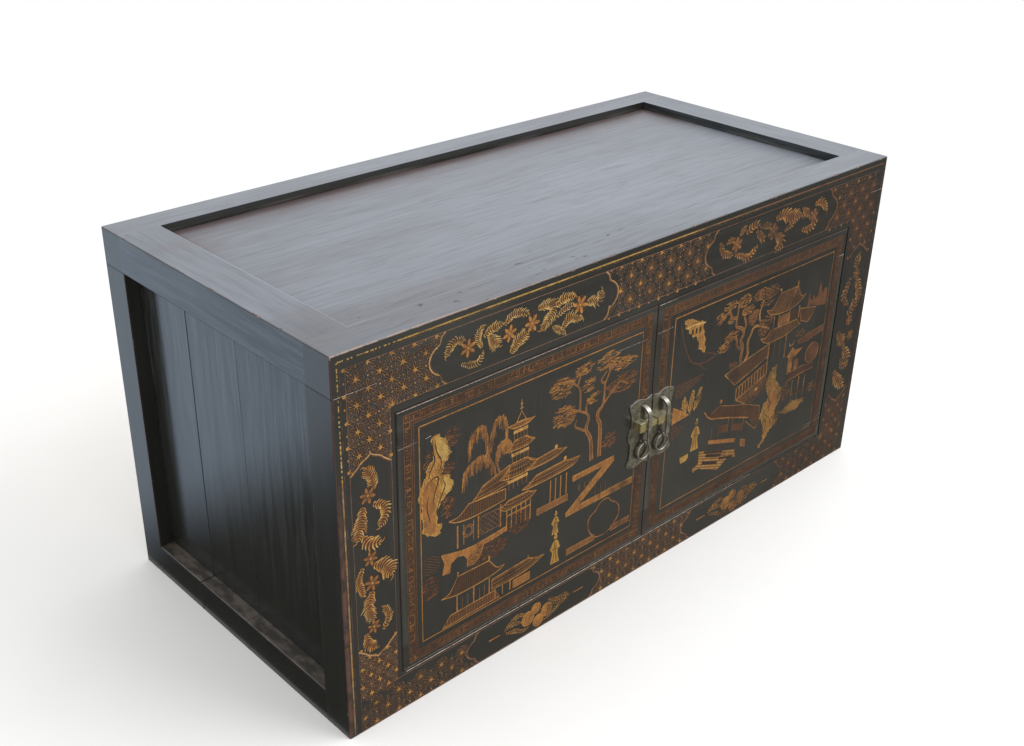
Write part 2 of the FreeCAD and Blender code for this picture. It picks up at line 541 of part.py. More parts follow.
def add_nails(label, sign):
    """The domed nails of one half plate, as one group."""
    nails = []
    ball = (sheet.nail_head ** 2 + sheet.nail_rise ** 2) / (2 * sheet.nail_rise)
    for name, out, up in NAILS:
        foot = FreeCAD.Vector(sign * length_of(out), sheet.nail_reach, length_of(up))
        seat = foot + TO_FRONT * (sheet.nail_reach + sheet.plate_thick)
        shank = Part.makeCylinder(sheet.nail_radius, sheet.nail_reach + sheet.plate_thick, foot, TO_FRONT)
        dome = Part.makeSphere(ball, seat + TO_FRONT * (sheet.nail_rise - ball))
        head = dome.common(Part.makeCylinder(sheet.nail_head * 2, sheet.nail_rise, seat, TO_FRONT))
        nails.append(shank.fuse(head).removeSplitter())
    add_made(label, Part.makeCompound(nails))


def add_made(label, shape):
    """A piece whose outline is free: its shape, at the middle of the lock on the front of the doors."""
    made = doc.addObject("Part::Feature", label)
    made.Label = label
    made.Shape = shape
    place(made, ("0", FRONT, "lock_level"))
    pieces.append(made)


def add_loop(label, right):
    """Strap loop: an upright strap on two legs that go through the plate into the stile."""
    start = "width / 2 - loop_offset - loop_width / 2"
    loop = Timber(label, ("loop_width", "loop_thick", "loop_top + loop_tail"),
                  (across(right, start, "loop_width"), f"{FRONT} - lock_proud", "lock_level - loop_tail"))
    for name, level in (("upper_leg", "loop_top"), ("lower_leg", "loop_rest")):
        loop.add(name, ("loop_width", "lock_proud + leg_reach", "loop_thick"),
                 ("0", "0", f"loop_tail + {level} - loop_thick"))
    under_leg = ("z", "loop_tail + loop_top - loop_thick")
    loop.soften("inner_bend", "loop_bend - loop_thick", (("y", "loop_thick"), under_leg))
    loop.soften("bend", "loop_bend", ("y0", "z1"))


def add_eye(label, side):
    """Eye of a ring pull: a bow in the upright plane with a shank through the plate into the stile."""
    bow = doc.addObject("Part::Torus", f"{label}_bow")
    bind(bow, Radius1="ring_wire + ring_play + eye_wire", Radius2="eye_wire")
    bow.Placement = FreeCAD.Placement(FreeCAD.Vector(), RING_TO_SIDE)
    shank = doc.addObject("Part::Cylinder", f"{label}_shank")
    shank.Placement = FreeCAD.Placement(FreeCAD.Vector(), INTO_DOOR)
    bind(shank, Radius="eye_shank", Height=f"{EYE_OUT} - (ring_wire + ring_play + eye_wire) + eye_reach")
    place(shank, ("0", "ring_wire + ring_play + eye_wire", "0"))
    eye = doc.addObject("Part::Fuse", label)
    eye.Label = label
    eye.Base = bow
    eye.Tool = shank
    place(eye, (f"{side} loop_offset", f"{FRONT} - {EYE_OUT}", "lock_level - eye_drop"))
    pieces.append(eye)


def add_ring(label, side):
    """Ring pull, hanging through its eye."""
    ring = doc.addObject("Part::Torus", label)
    ring.Label = label
    bind(ring, Radius1="ring_radius", Radius2="ring_wire")
    ring.Placement = FreeCAD.Placement(FreeCAD.Vector(), RING_TO_FRONT)
    place(ring, (f"{side} loop_offset", f"{FRONT} - {EYE_OUT}", "lock_level - eye_drop - ring_radius"))
    pieces.append(ring)


def add_bolt():
    """Lock bolt behind the left loop, and the sleeve behind the right loop that it slides into."""
    shank_length = "(loop_offset + loop_width / 2 + bolt_clearance - bolt_tip)"
    head_thick = f"({LOOP_ROOM} - 2 * bolt_clearance)"
    shank_thick = f"({SLEEVE_BORE} - 2 * bolt_clearance)"
    head_foot = "(lock_level + loop_rest + bolt_clearance)"
    shank_foot = f"({SLEEVE_FOOT} + sleeve_wall + bolt_clearance)"
    bolt = Timber("lock_bolt", ("bolt_head_length", head_thick, "bolt_head_height"),
                  (f"-bolt_tip - {shank_length} - bolt_head_length",
                   f"{FRONT} - plate_thick - bolt_clearance - {head_thick}", head_foot))
    bolt.soften("head_edges", "door_arris", ("x0", "y0"), ("y0", "z1"), ("x0", "z1"))
    bolt.add("shank", (shank_length, shank_thick, "bolt_height"),
             ("bolt_head_length", f"({head_thick} - {shank_thick}) / 2", f"{shank_foot} - {head_foot}"))
    bolt.bore("tie_hole", "bolt_hole", "bolt_head_height", ("bolt_head_length / 2", f"{head_thick} / 2", "0"))
    sleeve_length = "(loop_offset + loop_width / 2 - bolt_tip)"
    sleeve = Timber("lock_sleeve", (sleeve_length, LOOP_ROOM, SLEEVE_HEIGHT),
                    ("bolt_tip", f"{FRONT} - plate_thick - {LOOP_ROOM}", SLEEVE_FOOT))
    sleeve.cut("bore", (sleeve_length, SLEEVE_BORE, SLEEVE_BORE_HEIGHT), ("0", "sleeve_wall", "sleeve_wall"))


def add_door(side, right):
    """One door with its timbers, pivots, lock fittings and ring pull."""
    sign = 1 if right else -1
    mark = "+" if right else "-"
    add_door_rail(f"{side}_door_top_rail", right, False)
    add_door_rail(f"{side}_door_bottom_rail", right, True)
    add_stile(f"{side}_door_hinge_stile", right, False)
    add_stile(f"{side}_door_lock_stile", right, True)
    add_door_panel(f"{side}_door_panel", right)
    batten_length = f"({PANEL_WIDTH} + 2 * door_batten_tenon)"
    Timber(f"{side}_door_batten", (batten_length, "door_batten_thick", "door_batten_height"),
           (across(right, "post_width + door_gap + stile_width - door_batten_tenon", batten_length),
            f"{FRONT} + tongue_setback + tongue_thick", f"{DOOR_FOOT} + door_rail + {DOOR_BATTEN_AT}"))
    add_pivot(f"{side}_door_top_pivot", right, False)
    add_pivot(f"{side}_door_bottom_pivot", right, True)
    add_plate(f"{side}_lock_plate", sign)
    add_nails(f"{side}_plate_nails", sign)
    add_loop(f"{side}_lock_loop", right)
    add_eye(f"{side}_ring_eye", mark)
    add_ring(f"{side}_ring_pull", mark)


def write_parts():
    """Check every object, then write one STEP file for each piece."""
    doc.recompute()
    for item in doc.Objects:
        if "Invalid" in item.State or "Error" in item.State:
            raise RuntimeError(f"{item.Name} did not build: {item.State}")
    os.makedirs(PARTS_FOLDER, exist_ok=True)
    for piece in pieces:
        if piece.Shape.isNull() or not piece.Shape.isValid():
            raise RuntimeError(f"{piece.Label} has no valid shape")
        piece.Shape.exportStep(f"{PARTS_FOLDER}/{piece.Label}.step")


# Directions, and the turns that lay a round primitive along them
TO_FRONT = FreeCAD.Vector(0, -1, 0)
INTO_DOOR = FreeCAD.Rotation(FreeCAD.Vector(1, 0, 0), -90)
RING_TO_SIDE = FreeCAD.Rotation(FreeCAD.Vector(0, 1, 0), 90)
RING_TO_FRONT = FreeCAD.Rotation(FreeCAD.Vector(1, 0, 0), 90)
EDGE_TOLERANCE = 0.001

# Where the arcs of a lock plate meet: shares of its width, then of its half height
DIP_MIDDLE_SHARE = 0.16
DIP_END_SHARE = 0.33
LOBE_MIDDLE_SHARE = 0.62
LOBE_END_SHARE = 0.88
CORNER_MIDDLE_SHARE = 0.90
CORNER_END_SHARE = 0.80
HOLLOW_MIDDLE_SHARE = 0.55
HOLLOW_END_SHARE = 0.22

TENON_IN_POST = "(post_width - panel_groove - tenon_web - post_tenon_width)"
NAILS = (
    ("top", "nail_top_out", "nail_top_up"),
    ("middle", "nail_middle_out", "nail_middle_up"),
    ("low", "nail_low_out", "-nail_low_down"),
)

doc = FreeCAD.newDocument("cabinet")
sheet = fill_sheet()
pieces = []
for end, back in (("front", False), ("back", True)):
    for side, right in (("left", False), ("right", True)):
        add_post(f"{end}_{side}_post", right, back)
    add_top_long_rail(f"top_{end}_rail", back)
for side, right in (("left", False), ("right", True)):
    add_top_end_rail(f"top_{side}_rail", right)
    add_side(side, right)
    add_door(side, right)
add_top_panel()
add_front_and_back()
add_back_and_floor()
add_bolt()
write_parts()
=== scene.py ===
import math

import bpy
import numpy as np
from mathutils import Matrix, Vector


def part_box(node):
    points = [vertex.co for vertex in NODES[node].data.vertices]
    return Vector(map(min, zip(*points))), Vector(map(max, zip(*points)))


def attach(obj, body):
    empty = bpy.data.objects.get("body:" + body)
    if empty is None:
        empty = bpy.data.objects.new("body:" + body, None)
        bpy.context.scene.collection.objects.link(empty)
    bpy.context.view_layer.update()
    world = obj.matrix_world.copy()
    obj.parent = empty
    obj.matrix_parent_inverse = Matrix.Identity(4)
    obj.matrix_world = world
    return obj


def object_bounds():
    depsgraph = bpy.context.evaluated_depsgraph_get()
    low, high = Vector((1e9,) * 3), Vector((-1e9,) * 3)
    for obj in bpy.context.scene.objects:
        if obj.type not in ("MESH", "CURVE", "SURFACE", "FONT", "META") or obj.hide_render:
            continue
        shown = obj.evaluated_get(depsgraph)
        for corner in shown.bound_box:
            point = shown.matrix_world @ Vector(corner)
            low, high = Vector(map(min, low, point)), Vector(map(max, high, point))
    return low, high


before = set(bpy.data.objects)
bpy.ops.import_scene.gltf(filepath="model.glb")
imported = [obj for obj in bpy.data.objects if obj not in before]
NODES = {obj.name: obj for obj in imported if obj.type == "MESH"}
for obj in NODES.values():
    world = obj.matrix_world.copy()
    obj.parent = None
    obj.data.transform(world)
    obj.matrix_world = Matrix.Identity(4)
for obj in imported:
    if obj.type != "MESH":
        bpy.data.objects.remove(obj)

# The looks of a low two-door lacquer cabinet: black lacquer with a dusty top and painted sheen, shade and
# highlights, raised gilt and red work on the front, brass lock fittings with painted highlights and shade,
# plain wood inside.
# Metres throughout, in the frame of the solids.

CAD_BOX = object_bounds()
MM = 0.001

LEFT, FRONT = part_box("front_left_post")[0][0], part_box("front_left_post")[0][1]
BACK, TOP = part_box("top_back_rail")[1][1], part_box("top_back_rail")[1][2]
HALF_WIDTH = -LEFT
POST_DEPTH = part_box("front_left_post")[1][1] - FRONT
END_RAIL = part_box("top_left_rail")[1][0] - LEFT
DOOR_EDGE = (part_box("right_door_lock_stile")[0][0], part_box("right_door_hinge_stile")[1][0])
DOOR_RISE = (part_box("right_door_bottom_rail")[0][2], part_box("right_door_top_rail")[1][2])
SILL_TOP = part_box("left_side_sill")[1][2]
FRAME_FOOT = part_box("top_left_rail")[0][2]
BOARD_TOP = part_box("top_front_board")[1][2]


# ---------------------------------------------------------------- finishes

def tint(red, green, blue):
    """Screen colour from 0 to 255 as the linear colour that a shader takes."""
    share = np.array((red, green, blue)) / 255.0
    linear = np.where(share <= 0.04045, share / 12.92, ((share + 0.055) / 1.055) ** 2.4)
    return (*linear.tolist(), 1.0)


class Value:
    """A number in a shader. Arithmetic on it adds the Math nodes."""

    def __init__(self, nodes, socket):
        self.nodes, self.socket = nodes, socket

    def math(self, operation, *terms):
        node = self.nodes.node("Math", {"operation": operation}, dict(enumerate(terms)))
        return Value(self.nodes, node.outputs[0])

    def __add__(self, other):
        return self.math("ADD", self, other)

    def __sub__(self, other):
        return self.math("SUBTRACT", self, other)

    def __rsub__(self, other):
        return self.math("SUBTRACT", other, self)

    def __mul__(self, other):
        return self.math("MULTIPLY", self, other)

    def __truediv__(self, other):
        return self.math("DIVIDE", self, other)

    def __abs__(self):
        return self.math("ABSOLUTE", self)

    __radd__, __rmul__ = __add__, __mul__

    def root(self):
        return self.math("SQRT", self)

    def least(self, other):
        return self.math("MINIMUM", self, other)

    def most(self, other):
        return self.math("MAXIMUM", self, other)

    def rise(self, low, high):
        """0 below low, 1 above high, and a smooth step between."""
        node = self.nodes.node("MapRange", {"interpolation_type": "SMOOTHSTEP"},
                               {"Value": self, "From Min": low, "From Max": high})
        return Value(self.nodes, node.outputs["Result"])

    def fall(self, low, high):
        return 1 - self.rise(low, high)


class Nodes:
    """The nodes of one tree."""

    def __init__(self, tree):
        self.tree = tree

    def node(self, kind, settings=None, sockets=None):
        """Add a node: its settings first, then the value or link of each socket."""
        made = self.tree.nodes.new("ShaderNode" + kind)
        for name, value in (settings or {}).items():
            if name == "stops":
                ramp = made.color_ramp
                while len(ramp.elements) < len(value):
                    ramp.elements.new(1.0)
                for stop, (place, colour) in zip(ramp.elements, value):
                    stop.position, stop.color = place, colour
            else:
                setattr(made, name, value)
        for name, value in (sockets or {}).items():
            self.feed(made.inputs[name], value)
        return made

    def feed(self, socket, value):
        """Link a value or a node's socket to a socket, or set it to a constant."""
        if isinstance(value, Value):
            value = value.socket
        if isinstance(value, bpy.types.NodeSocket):
            self.tree.links.new(value, socket)
        else:
            socket.default_value = value


class Finish(Nodes):
    """One material: a Principled surface and the nodes that feed it."""

    def __init__(self, name, **constants):
        self.material = bpy.data.materials.new(name)
        self.material.use_nodes = True
        super().__init__(self.material.node_tree)
        self.surface = self.tree.nodes["Principled BSDF"]
        for socket, value in constants.items():
            self.surface.inputs[socket.replace("_", " ")].default_value = value
        self.place = self.node("TexCoord").outputs["Object"]
        parts = self.node("SeparateXYZ", {}, {0: self.place}).outputs
        self.x, self.y, self.z = (Value(self, part) for part in parts)

    def facing_up(self):
        """How far the surface faces up, from its normal."""
        normal = self.node("NewGeometry").outputs["Normal"]
        return Value(self, self.node("SeparateXYZ", {}, {0: normal}).outputs[2])

    def noise(self, scale, stretch=(1, 1, 1), detail=3.0, shift=0.0):
        """Noise over the piece, its coordinates stretched along each axis."""
        spot = self.node(
            "VectorMath", {"operation": "MULTIPLY_ADD"},
            {0: self.place, 1: stretch, 2: (shift, shift, shift)},
        ).outputs[0]
        made = self.node("TexNoise", {}, {"Vector": spot, "Scale": scale, "Detail": detail})
        return Value(self, made.outputs[0])

    def attribute(self, name):
        made = self.node("Attribute", {"attribute_name": name})
        return Value(self, made.outputs["Fac"])

    def ramp(self, value, stops):
        return self.node("ValToRGB", {"stops": stops}, {"Fac": value}).outputs["Color"]

    def mix(self, share, first, second):
        """The first colour where share is 0 and the second where it is 1."""
        made = self.node("Mix", {"data_type": "RGBA"}, {0: share, 6: first, 7: second})
        return made.outputs[2]

    def coats(self, colour, *coats):
        """Screen colours laid over a colour in turn, each by its own share."""
        for share, shade in coats:
            colour = self.mix(share, colour, tint(*shade))
        return colour

    def bump(self, height, depth, strength):
        made = self.node("Bump", {}, {"Height": height, "Distance": depth, "Strength": strength})
        self.feed(self.surface.inputs["Normal"], made.outputs["Normal"])

    def colour(self, value):
        self.feed(self.surface.inputs["Base Color"], value)

    def roughness(self, value):
        self.feed(self.surface.inputs["Roughness"], value)


SIDE_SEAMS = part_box("left_side_board_front")[1][1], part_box("left_side_board_back")[0][1]
GRAIN = {"x": (0.06, 1, 1), "y": (1, 0.06, 1), "z": (1, 1, 0.06)}


def black_lacquer(name, grain, gloss, sheen, painted_sheen):
    """Warm black lacquer over wood: dusty where it faces up, worn on its arrises. Painted sheen on its grain
    and in the dust's level across the top, painted shade by the walls of the top's well, and a painted
    highlight on its front and left inner arrises.
    """
    f = Finish(name, IOR=1.54, Specular_Tint=sheen)
    figure = f.noise(120, GRAIN[grain], 4)
    streak = f.noise(34, GRAIN[grain], 5, 3.0)
    cloud = f.noise(5, detail=4)
    chip = f.noise(70, detail=6, shift=7.0)
    speck = f.noise(900, detail=2)
    nick = f.noise(300, GRAIN[grain], 2, 15.0)
    up = f.facing_up().rise(0.55, 0.9)

    # Distances to the three pairs of outer faces: the middle one is small on an arris.
    across = HALF_WIDTH - abs(f.x)
    deep = (f.y - FRONT).least(BACK - f.y)
    high = f.z.least(TOP - f.z)
    arris = across.least(deep).most(across.most(deep).least(high))
    wear = chip.rise(0.50, 0.72)
    worn = arris.fall(0.0003, 0.0010 + 0.0026 * wear)
    worn = worn.most(across.most(deep).fall(0.0004, 0.0020 + 0.0034 * wear))
    on_front = (f.y - FRONT).fall(0.0008, 0.0030)
    corner = (f.x - LEFT).fall(0.003, 0.007 + 0.008 * wear) * on_front * f.z.fall(0.25, 0.40)
    worn = worn.most(corner * chip.rise(0.32, 0.52))
    rubbed_arris = (TOP - f.z).fall(0.0006, 0.0022) * on_front * f.x.fall(-0.46, -0.10)
    worn = worn.most(rubbed_arris * chip.rise(0.30, 0.46))

    # The meeting and hanging edges of the doors, on the front only.
    door_middle = sum(DOOR_EDGE) / 2
    door_height = sum(DOOR_RISE) / 2
    door_rim = (abs(abs(f.x) - door_middle) - (DOOR_EDGE[1] - door_middle)).most(
        abs(f.z - door_height) - (DOOR_RISE[1] - door_height))
    gap = abs(door_rim)
    margin = on_front * door_rim.rise(-0.014, -0.010) * door_rim.fall(-0.0010, 0.0)
    worn = worn.most(0.6 * on_front * gap.fall(0.0004, 0.0010 + 0.0020 * chip.rise(0.54, 0.75)))

    # The inner arrises of the top frame, where a pale bluish line is a painted highlight, and of the side
    # openings.
    middle_y = (FRONT + BACK) / 2
    half_y = (BACK - FRONT) / 2 - POST_DEPTH
    well = (abs(f.x) - (HALF_WIDTH - END_RAIL)).most(abs(f.y - middle_y) - half_y)
    near_lip = (LEFT + END_RAIL - f.x).most(FRONT + POST_DEPTH - f.y)
    lip = abs(near_lip).fall(0.0004, 0.0013) * well.fall(0.0012, 0.003) * (TOP - f.z).fall(0.0008, 0.003)
    side_height = (SILL_TOP + FRAME_FOOT) / 2
    side_well = (abs(f.y - middle_y) - half_y).most(
        abs(f.z - side_height) - (FRAME_FOOT - SILL_TOP) / 2)
    on_side = across.fall(0.0008, 0.0030)
    side_lip = 0.35 * abs(side_well).fall(0.0004, 0.0008 + 0.0014 * wear)
    worn = worn.most(side_lip * on_side)

    # Joints that have opened: between the side boards, and under the top frame.
    open_joint = 0.6 * on_side * abs(f.z - FRAME_FOOT).fall(0.0004, 0.0012)
    on_boards = abs(f.x).rise(0.47, 0.48) * well.rise(-0.05, -0.04) * f.z.fall(FRAME_FOOT - MM, FRAME_FOOT)
    for seam, share in zip(SIDE_SEAMS, (0.35, 1.0)):
        open_joint = open_joint.most(share * abs(f.y - seam).fall(0.0008, 0.0020) * on_boards)

    # Dust: a grey film on the top, whose level across the top is painted sheen, browner with painted shade at
    # the foot of the well, and on the sills.
    above = up * f.z.rise(0.45, 0.48)
    drift = f.noise(9, (0.22, 1, 1), 4, 12.0)
    grit = f.noise(95, (1, 0.5, 1), 8, 17.0)
    near_front = (f.y - FRONT).fall(0.05, 0.17) * f.x.fall(-0.10, 0.25)
    # The film's level: higher in the middle of the top and lower near the front, painted sheen over the dust.
    dust_and_sheen_level = 0.74 + 0.14 * f.x.rise(-0.50, -0.05) - 0.14 * f.x.rise(0.05, 0.50) - 0.18 * near_front
    dust_and_sheen = above * (dust_and_sheen_level + 0.22 * (streak - 0.5) + 0.45 * (figure - 0.5) + 0.40 * (cloud - 0.5))
    hollow = (TOP - f.z).rise(0.006, 0.010)
    # On the back half of the well's floor, darker towards its walls: brown dust with painted shade, and a
    # narrower dark band of dirt and painted shade by the walls.
    foot = above * hollow * well.rise(-0.070, -0.002) * f.y.rise(0.05, 0.18)
    dirt_and_shade_by_walls = above * hollow * well.rise(-0.024, -0.003) * f.y.rise(0.05, 0.18)
    wall = (1 - up) * hollow * f.z.rise(0.47, 0.48) * abs(well).fall(0.001, 0.004)
    ledge = up * f.z.fall(0.06, 0.10)
    craze = near_front * f.noise(150, (0.10, 1, 1), 5, 23.0).rise(0.58, 0.66)
    pitted = f.noise(78, (0.35, 1, 1), 4, 21.0).rise(0.66, 0.68)
    dent = (f.y - FRONT).fall(0.085, 0.110) * f.x.fall(-0.05, 0.05) * pitted

    # The coats, from the black up to the wear.
    sheen_lines = (figure * 0.5 + nick * 0.4 + streak * 0.1).rise(0.38, 0.66) * f.z.rise(0.05, 0.40)
    rubbed_pale = 0.8 * f.x.fall(-0.35, -0.05) * (TOP - f.z).fall(0.002, 0.006) * on_front
    bare = f.mix(chip.rise(0.64, 0.78).most(rubbed_pale), tint(88, 56, 42), tint(172, 150, 138))
    black = f.mix(figure, tint(28, 28, 24), tint(40, 40, 36))
    colour = f.coats(
        black,
        (cloud.rise(0.5, 0.75) * on_front * 0.6, (48, 49, 45)),
        (margin * streak.rise(0.40, 0.70) * 0.45, (74, 76, 70)),
        # Painted sheen: pale bluish lines along the grain on what doesn't face up, by the share of painted
        # sheen.
        ((1 - up) * sheen_lines * painted_sheen, (112, 118, 126)),
        # The dust film, with painted sheen in its level across the top.
        (dust_and_sheen, (132, 137, 147)),
        (above * drift.rise(0.48, 0.70) * (0.10 + 0.45 * f.x.fall(-0.45, -0.10)), (104, 98, 100)),
        (above * nick.rise(0.52, 0.68) * 0.42, (88, 90, 96)),
        (above * craze * 0.45, (84, 80, 80)),
        (above * dent * 0.85, (38, 35, 35)),
        # Brown dust and painted shade towards the walls of the well.
        (foot * (0.15 + 0.70 * chip), (104, 90, 86)),
        # Dirt and painted shade in a dark band along the walls of the well.
        (dirt_and_shade_by_walls * 0.85, (76, 58, 55)),
        (wall * figure.rise(0.40, 0.70) * 0.6, (92, 88, 84)),
        (ledge * (0.25 + 0.65 * grit.rise(0.42, 0.66)), (104, 95, 86)),
    )
    colour = f.coats(
        f.mix(worn * 0.85, colour, bare),
        # A painted highlight: a pale bluish line along the front and left inner arrises of the top.
        (lip * (0.15 + 0.7 * chip), (166, 168, 176)),
        (open_joint * 0.85, (13, 12, 11)),
    )
    f.colour(colour)
    f.roughness(gloss + 0.10 * cloud + 0.16 * up + 0.30 * worn.most(dirt_and_shade_by_walls) + 0.5 * open_joint)
    f.bump(figure * 0.5 + streak * 0.5 + speck * 0.1 - nick * 0.3, 0.00025, 0.45)
    return f.material


GILT = ((46, 42, 35), (96, 60, 41), (122, 83, 50), (160, 107, 51), (180, 131, 63), (204, 170, 106),
        (166, 128, 56), (194, 164, 100))    # at even steps of the tone from -0.25 to 1.5


def worn_gilding(name, dulling, mauve=0.0):
    """Gold and red size on the lacquer, by the work's own tone: rubbed in patches,
    and duller towards the right hand, where the front has had more wear. The red
    to brown tones turn greyer by the share of mauve."""
    f = Finish(name, IOR=1.32, Metallic=0.12)
    tone = f.attribute("tone")
    leaf = f.ramp((tone + 0.25) / 1.75,
                  [(place / (len(GILT) - 1), tint(*shade)) for place, shade in enumerate(GILT)])
    if mauve:
        leaf = f.coats(leaf, (tone.rise(0.08, 0.20) * tone.fall(0.50, 0.60) * mauve, (128, 98, 84)))
    patch = f.noise(46, detail=6, shift=2.0)
    flake = f.noise(420, detail=5, shift=5.0)
    broad = f.noise(7, detail=3, shift=9.0)
    brush = f.noise(150, (1, 1, 0.4), 3, 13.0)
    rubbed = (patch * 0.55 + flake * 0.3 + broad * 0.4).rise(0.58, 0.80)
    uneven = (flake * 0.5 + brush * 0.5).rise(0.38, 0.62)
    shade = f.mix(uneven * 0.75, leaf, f.mix(0.55, leaf, tint(56, 41, 31)))
    f.colour(f.coats(shade, (f.x.rise(-0.15, 0.50) * dulling, (66, 46, 38)), (rubbed * 0.8, (52, 42, 35))))
    f.roughness(0.38 + 0.25 * flake + 0.15 * rubbed)
    f.bump(flake * 0.6 + patch, 0.0002, 0.5)
    return f.material


def chipped_edge():
    """Pale ground that shows where the lacquer has cracked along a joint."""
    f = Finish("chipped_edge", IOR=1.4)
    flake = f.noise(420, detail=5)
    f.colour(f.mix(flake.rise(0.35, 0.65), tint(190, 176, 164), tint(110, 96, 86)))
    f.roughness(0.6 + 0.25 * flake)
    f.bump(flake, 0.0002, 0.5)
    return f.material


def shade_beside_fittings(f):
    """1 on the plates close to a ring's circle or to a loop: the painted shade of the fittings."""
    ring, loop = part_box("right_ring_pull"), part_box("right_lock_loop")
    middle, radius = (ring[0][0] + ring[1][0]) / 2, (ring[1][0] - ring[0][0]) / 2
    right, up = abs(f.x) - middle, f.z - (ring[0][2] + ring[1][2]) / 2
    distance = (right * right + up * up).root()
    round_ring = abs(distance - 0.85 * radius).fall(0.0012, 0.0045)
    beside = abs(abs(f.x) - (loop[0][0] + loop[1][0]) / 2).fall(0.0030, 0.0075)
    beside = beside * f.z.rise(loop[0][2] - 0.006, loop[0][2]) * f.z.fall(loop[1][2], loop[1][2] + 0.005)
    return round_ring.most(beside)


def brass(name, bright, dull, polish, handled=0.0, painted_shade=False):
    """Old brass: a brown-green skin with brighter rubbed patches and fine scratches, and a painted
    highlight, near white, on what faces up, by its share."""
    f = Finish(name, Metallic=0.85, IOR=1.45)
    skin = f.noise(90, detail=6)
    pit = f.noise(700, detail=3, shift=4.0)
    scratch = f.noise(420, (0.08, 1, 1), 3, 8.0)
    rubbed = (skin * 0.5 + pit * 0.5).rise(0.34, 0.70)
    colour = f.mix(rubbed, dull, bright)
    if painted_shade:
        # Painted shade on the plates round the rings and beside the loops.
        colour = f.coats(colour, (0.8 * shade_beside_fittings(f), (30, 29, 24)))
    if handled:
        # A painted highlight on what faces up.
        colour = f.coats(colour, (f.facing_up().rise(0.5, 0.92) * handled, (232, 228, 222)))
    f.colour(colour)
    f.roughness(polish + 0.22 * (1 - rubbed) + 0.12 * scratch)
    f.bump(pit * 0.5 + scratch * 0.5 + skin * 0.4, 0.00015, 0.4)
    return f.material


def plain_wood(name, grain, pale, dark, scale):
    """Unfinished wood: growth lines along the grain, pores and a little dust."""
    f = Finish(name, IOR=1.45)
    drift = f.noise(7, GRAIN[grain], 3)
    lines = f.noise(scale, GRAIN[grain], 5, 2.0)
    pores = f.noise(scale * 6, GRAIN[grain], 3, 6.0)
    stain = f.noise(4, detail=4, shift=5.0)
    colour = f.mix((lines * 0.7 + drift * 0.5).rise(0.35, 0.85), pale, dark)
    colour = f.mix(pores.rise(0.58, 0.75) * 0.5, colour, dark)
    f.colour(f.coats(colour, (stain.rise(0.5, 0.8) * 0.35, (92, 70, 50))))
    f.roughness(0.58 + 0.22 * lines)
    f.bump(lines * 0.6 + pores * 0.5, 0.0004, 0.4)
    return f.material


UPRIGHT = ("post", "stile", "door_panel", "side_board", "back_board_", "pivot")
INWARD = ("left_rail", "right_rail", "side_sill", "batten", "floor_bearer")
KINDS = {"side_board": "_boards", "post": "_posts", "loop": "_handled", "ring": "_handled", "nails": "_nails"}
NEUTRAL, COOL = (0.90, 0.96, 1.0, 1.0), (0.74, 0.87, 1.0, 1.0)


def grain_of(name):
    """The axis that a timber's grain runs along, from the name of its node."""
    if "door_batten" in name or any(word in name for word in UPRIGHT):
        return "z"
    return "y" if any(word in name for word in INWARD) else "x"


def finish_for(slot, kind, grain):
    """A new finish for one slot, by the kind of piece and the run of its grain."""
    if slot == "black_lacquer":
        gloss = 0.14 if "boards" in kind else 0.28 if "posts" in kind else 0.20
        cool = "boards" in kind or grain == "y"
        # Boards, and pieces whose grain runs front to back, get a cool tint to their gloss and more painted
        # sheen along their grain.
        return black_lacquer(kind, grain, gloss, COOL if cool else NEUTRAL, 0.20 if cool else 0.02)
    if slot == "inner_softwood":
        return plain_wood(kind, grain, tint(190, 158, 112), tint(150, 112, 72), 90)
    if slot == "pivot_hardwood":
        return plain_wood(kind, grain, tint(128, 88, 54), tint(86, 54, 32), 160)
    # Brass: the number after the polish is the share of painted highlight; True gives the plates painted
    # shade beside their fittings.
    if slot == "yellow_brass":
        return brass(kind, tint(204, 194, 144), tint(142, 132, 92), 0.26, 0.35)
    if "nails" in kind:
        return brass(kind, tint(126, 124, 110), tint(82, 80, 69), 0.42)
    if "handled" in kind:
        return brass(kind, tint(178, 175, 162), tint(90, 87, 76), 0.18, 0.6)
    return brass(kind, tint(154, 152, 136), tint(88, 86, 74), 0.32, 0.85, True)


def finish_nodes():
    """Give every CAD node its finish; pieces of one kind share it."""
    made = {}
    for name, node in NODES.items():
        grain = grain_of(name)
        ending = next((ending for word, ending in KINDS.items() if word in name), "")
        for place in node.material_slots:
            slot = place.material.name.split(".")[0]
            kind = (slot if "brass" in slot else f"{slot}_{grain}") + ending
            if kind not in made:
                made[kind] = finish_for(slot, kind, grain)
            place.material = made[kind]


# ------------------------------------------------------- raised work on the front

# Tones of the gilding, from the dark ground through red to pale gold and mustard.
DEEP, RED, BROWN, ORANGE, GOLD, PALE, MUSTARD = -0.25, 0.0, 0.25, 0.5, 0.75, 1.0, 1.25
SQUARE = MM / 1.5           # the drawing paper has three squares to two millimetres
PAPER_LEFT = LEFT - 5.0 * MM
PAPER_TOP = TOP + 5.4 * MM
# How far each kind of work stands off the lacquer, and the crown of a stroke above its edges.
UNDER_LIFT, GROUND_LIFT, DASH_LIFT, STROKE_LIFT = 0.02 * MM, 0.06 * MM, 0.10 * MM, 0.14 * MM
PATCH_LIFT, OVER_LIFT, EYE_LIFT, RIM_LIFT = 0.16 * MM, 0.20 * MM, 0.24 * MM, 0.30 * MM
CROWN = 0.16 * MM
FILL_SPREAD, DASH_SPREAD = 0.02 * MM, 0.06 * MM     # by chance, so that no two faces share a plane
chance = np.random.default_rng(11)


def add_object(name, data):
    made = bpy.data.objects.new(name, data)
    bpy.context.scene.collection.objects.link(made)
    return made


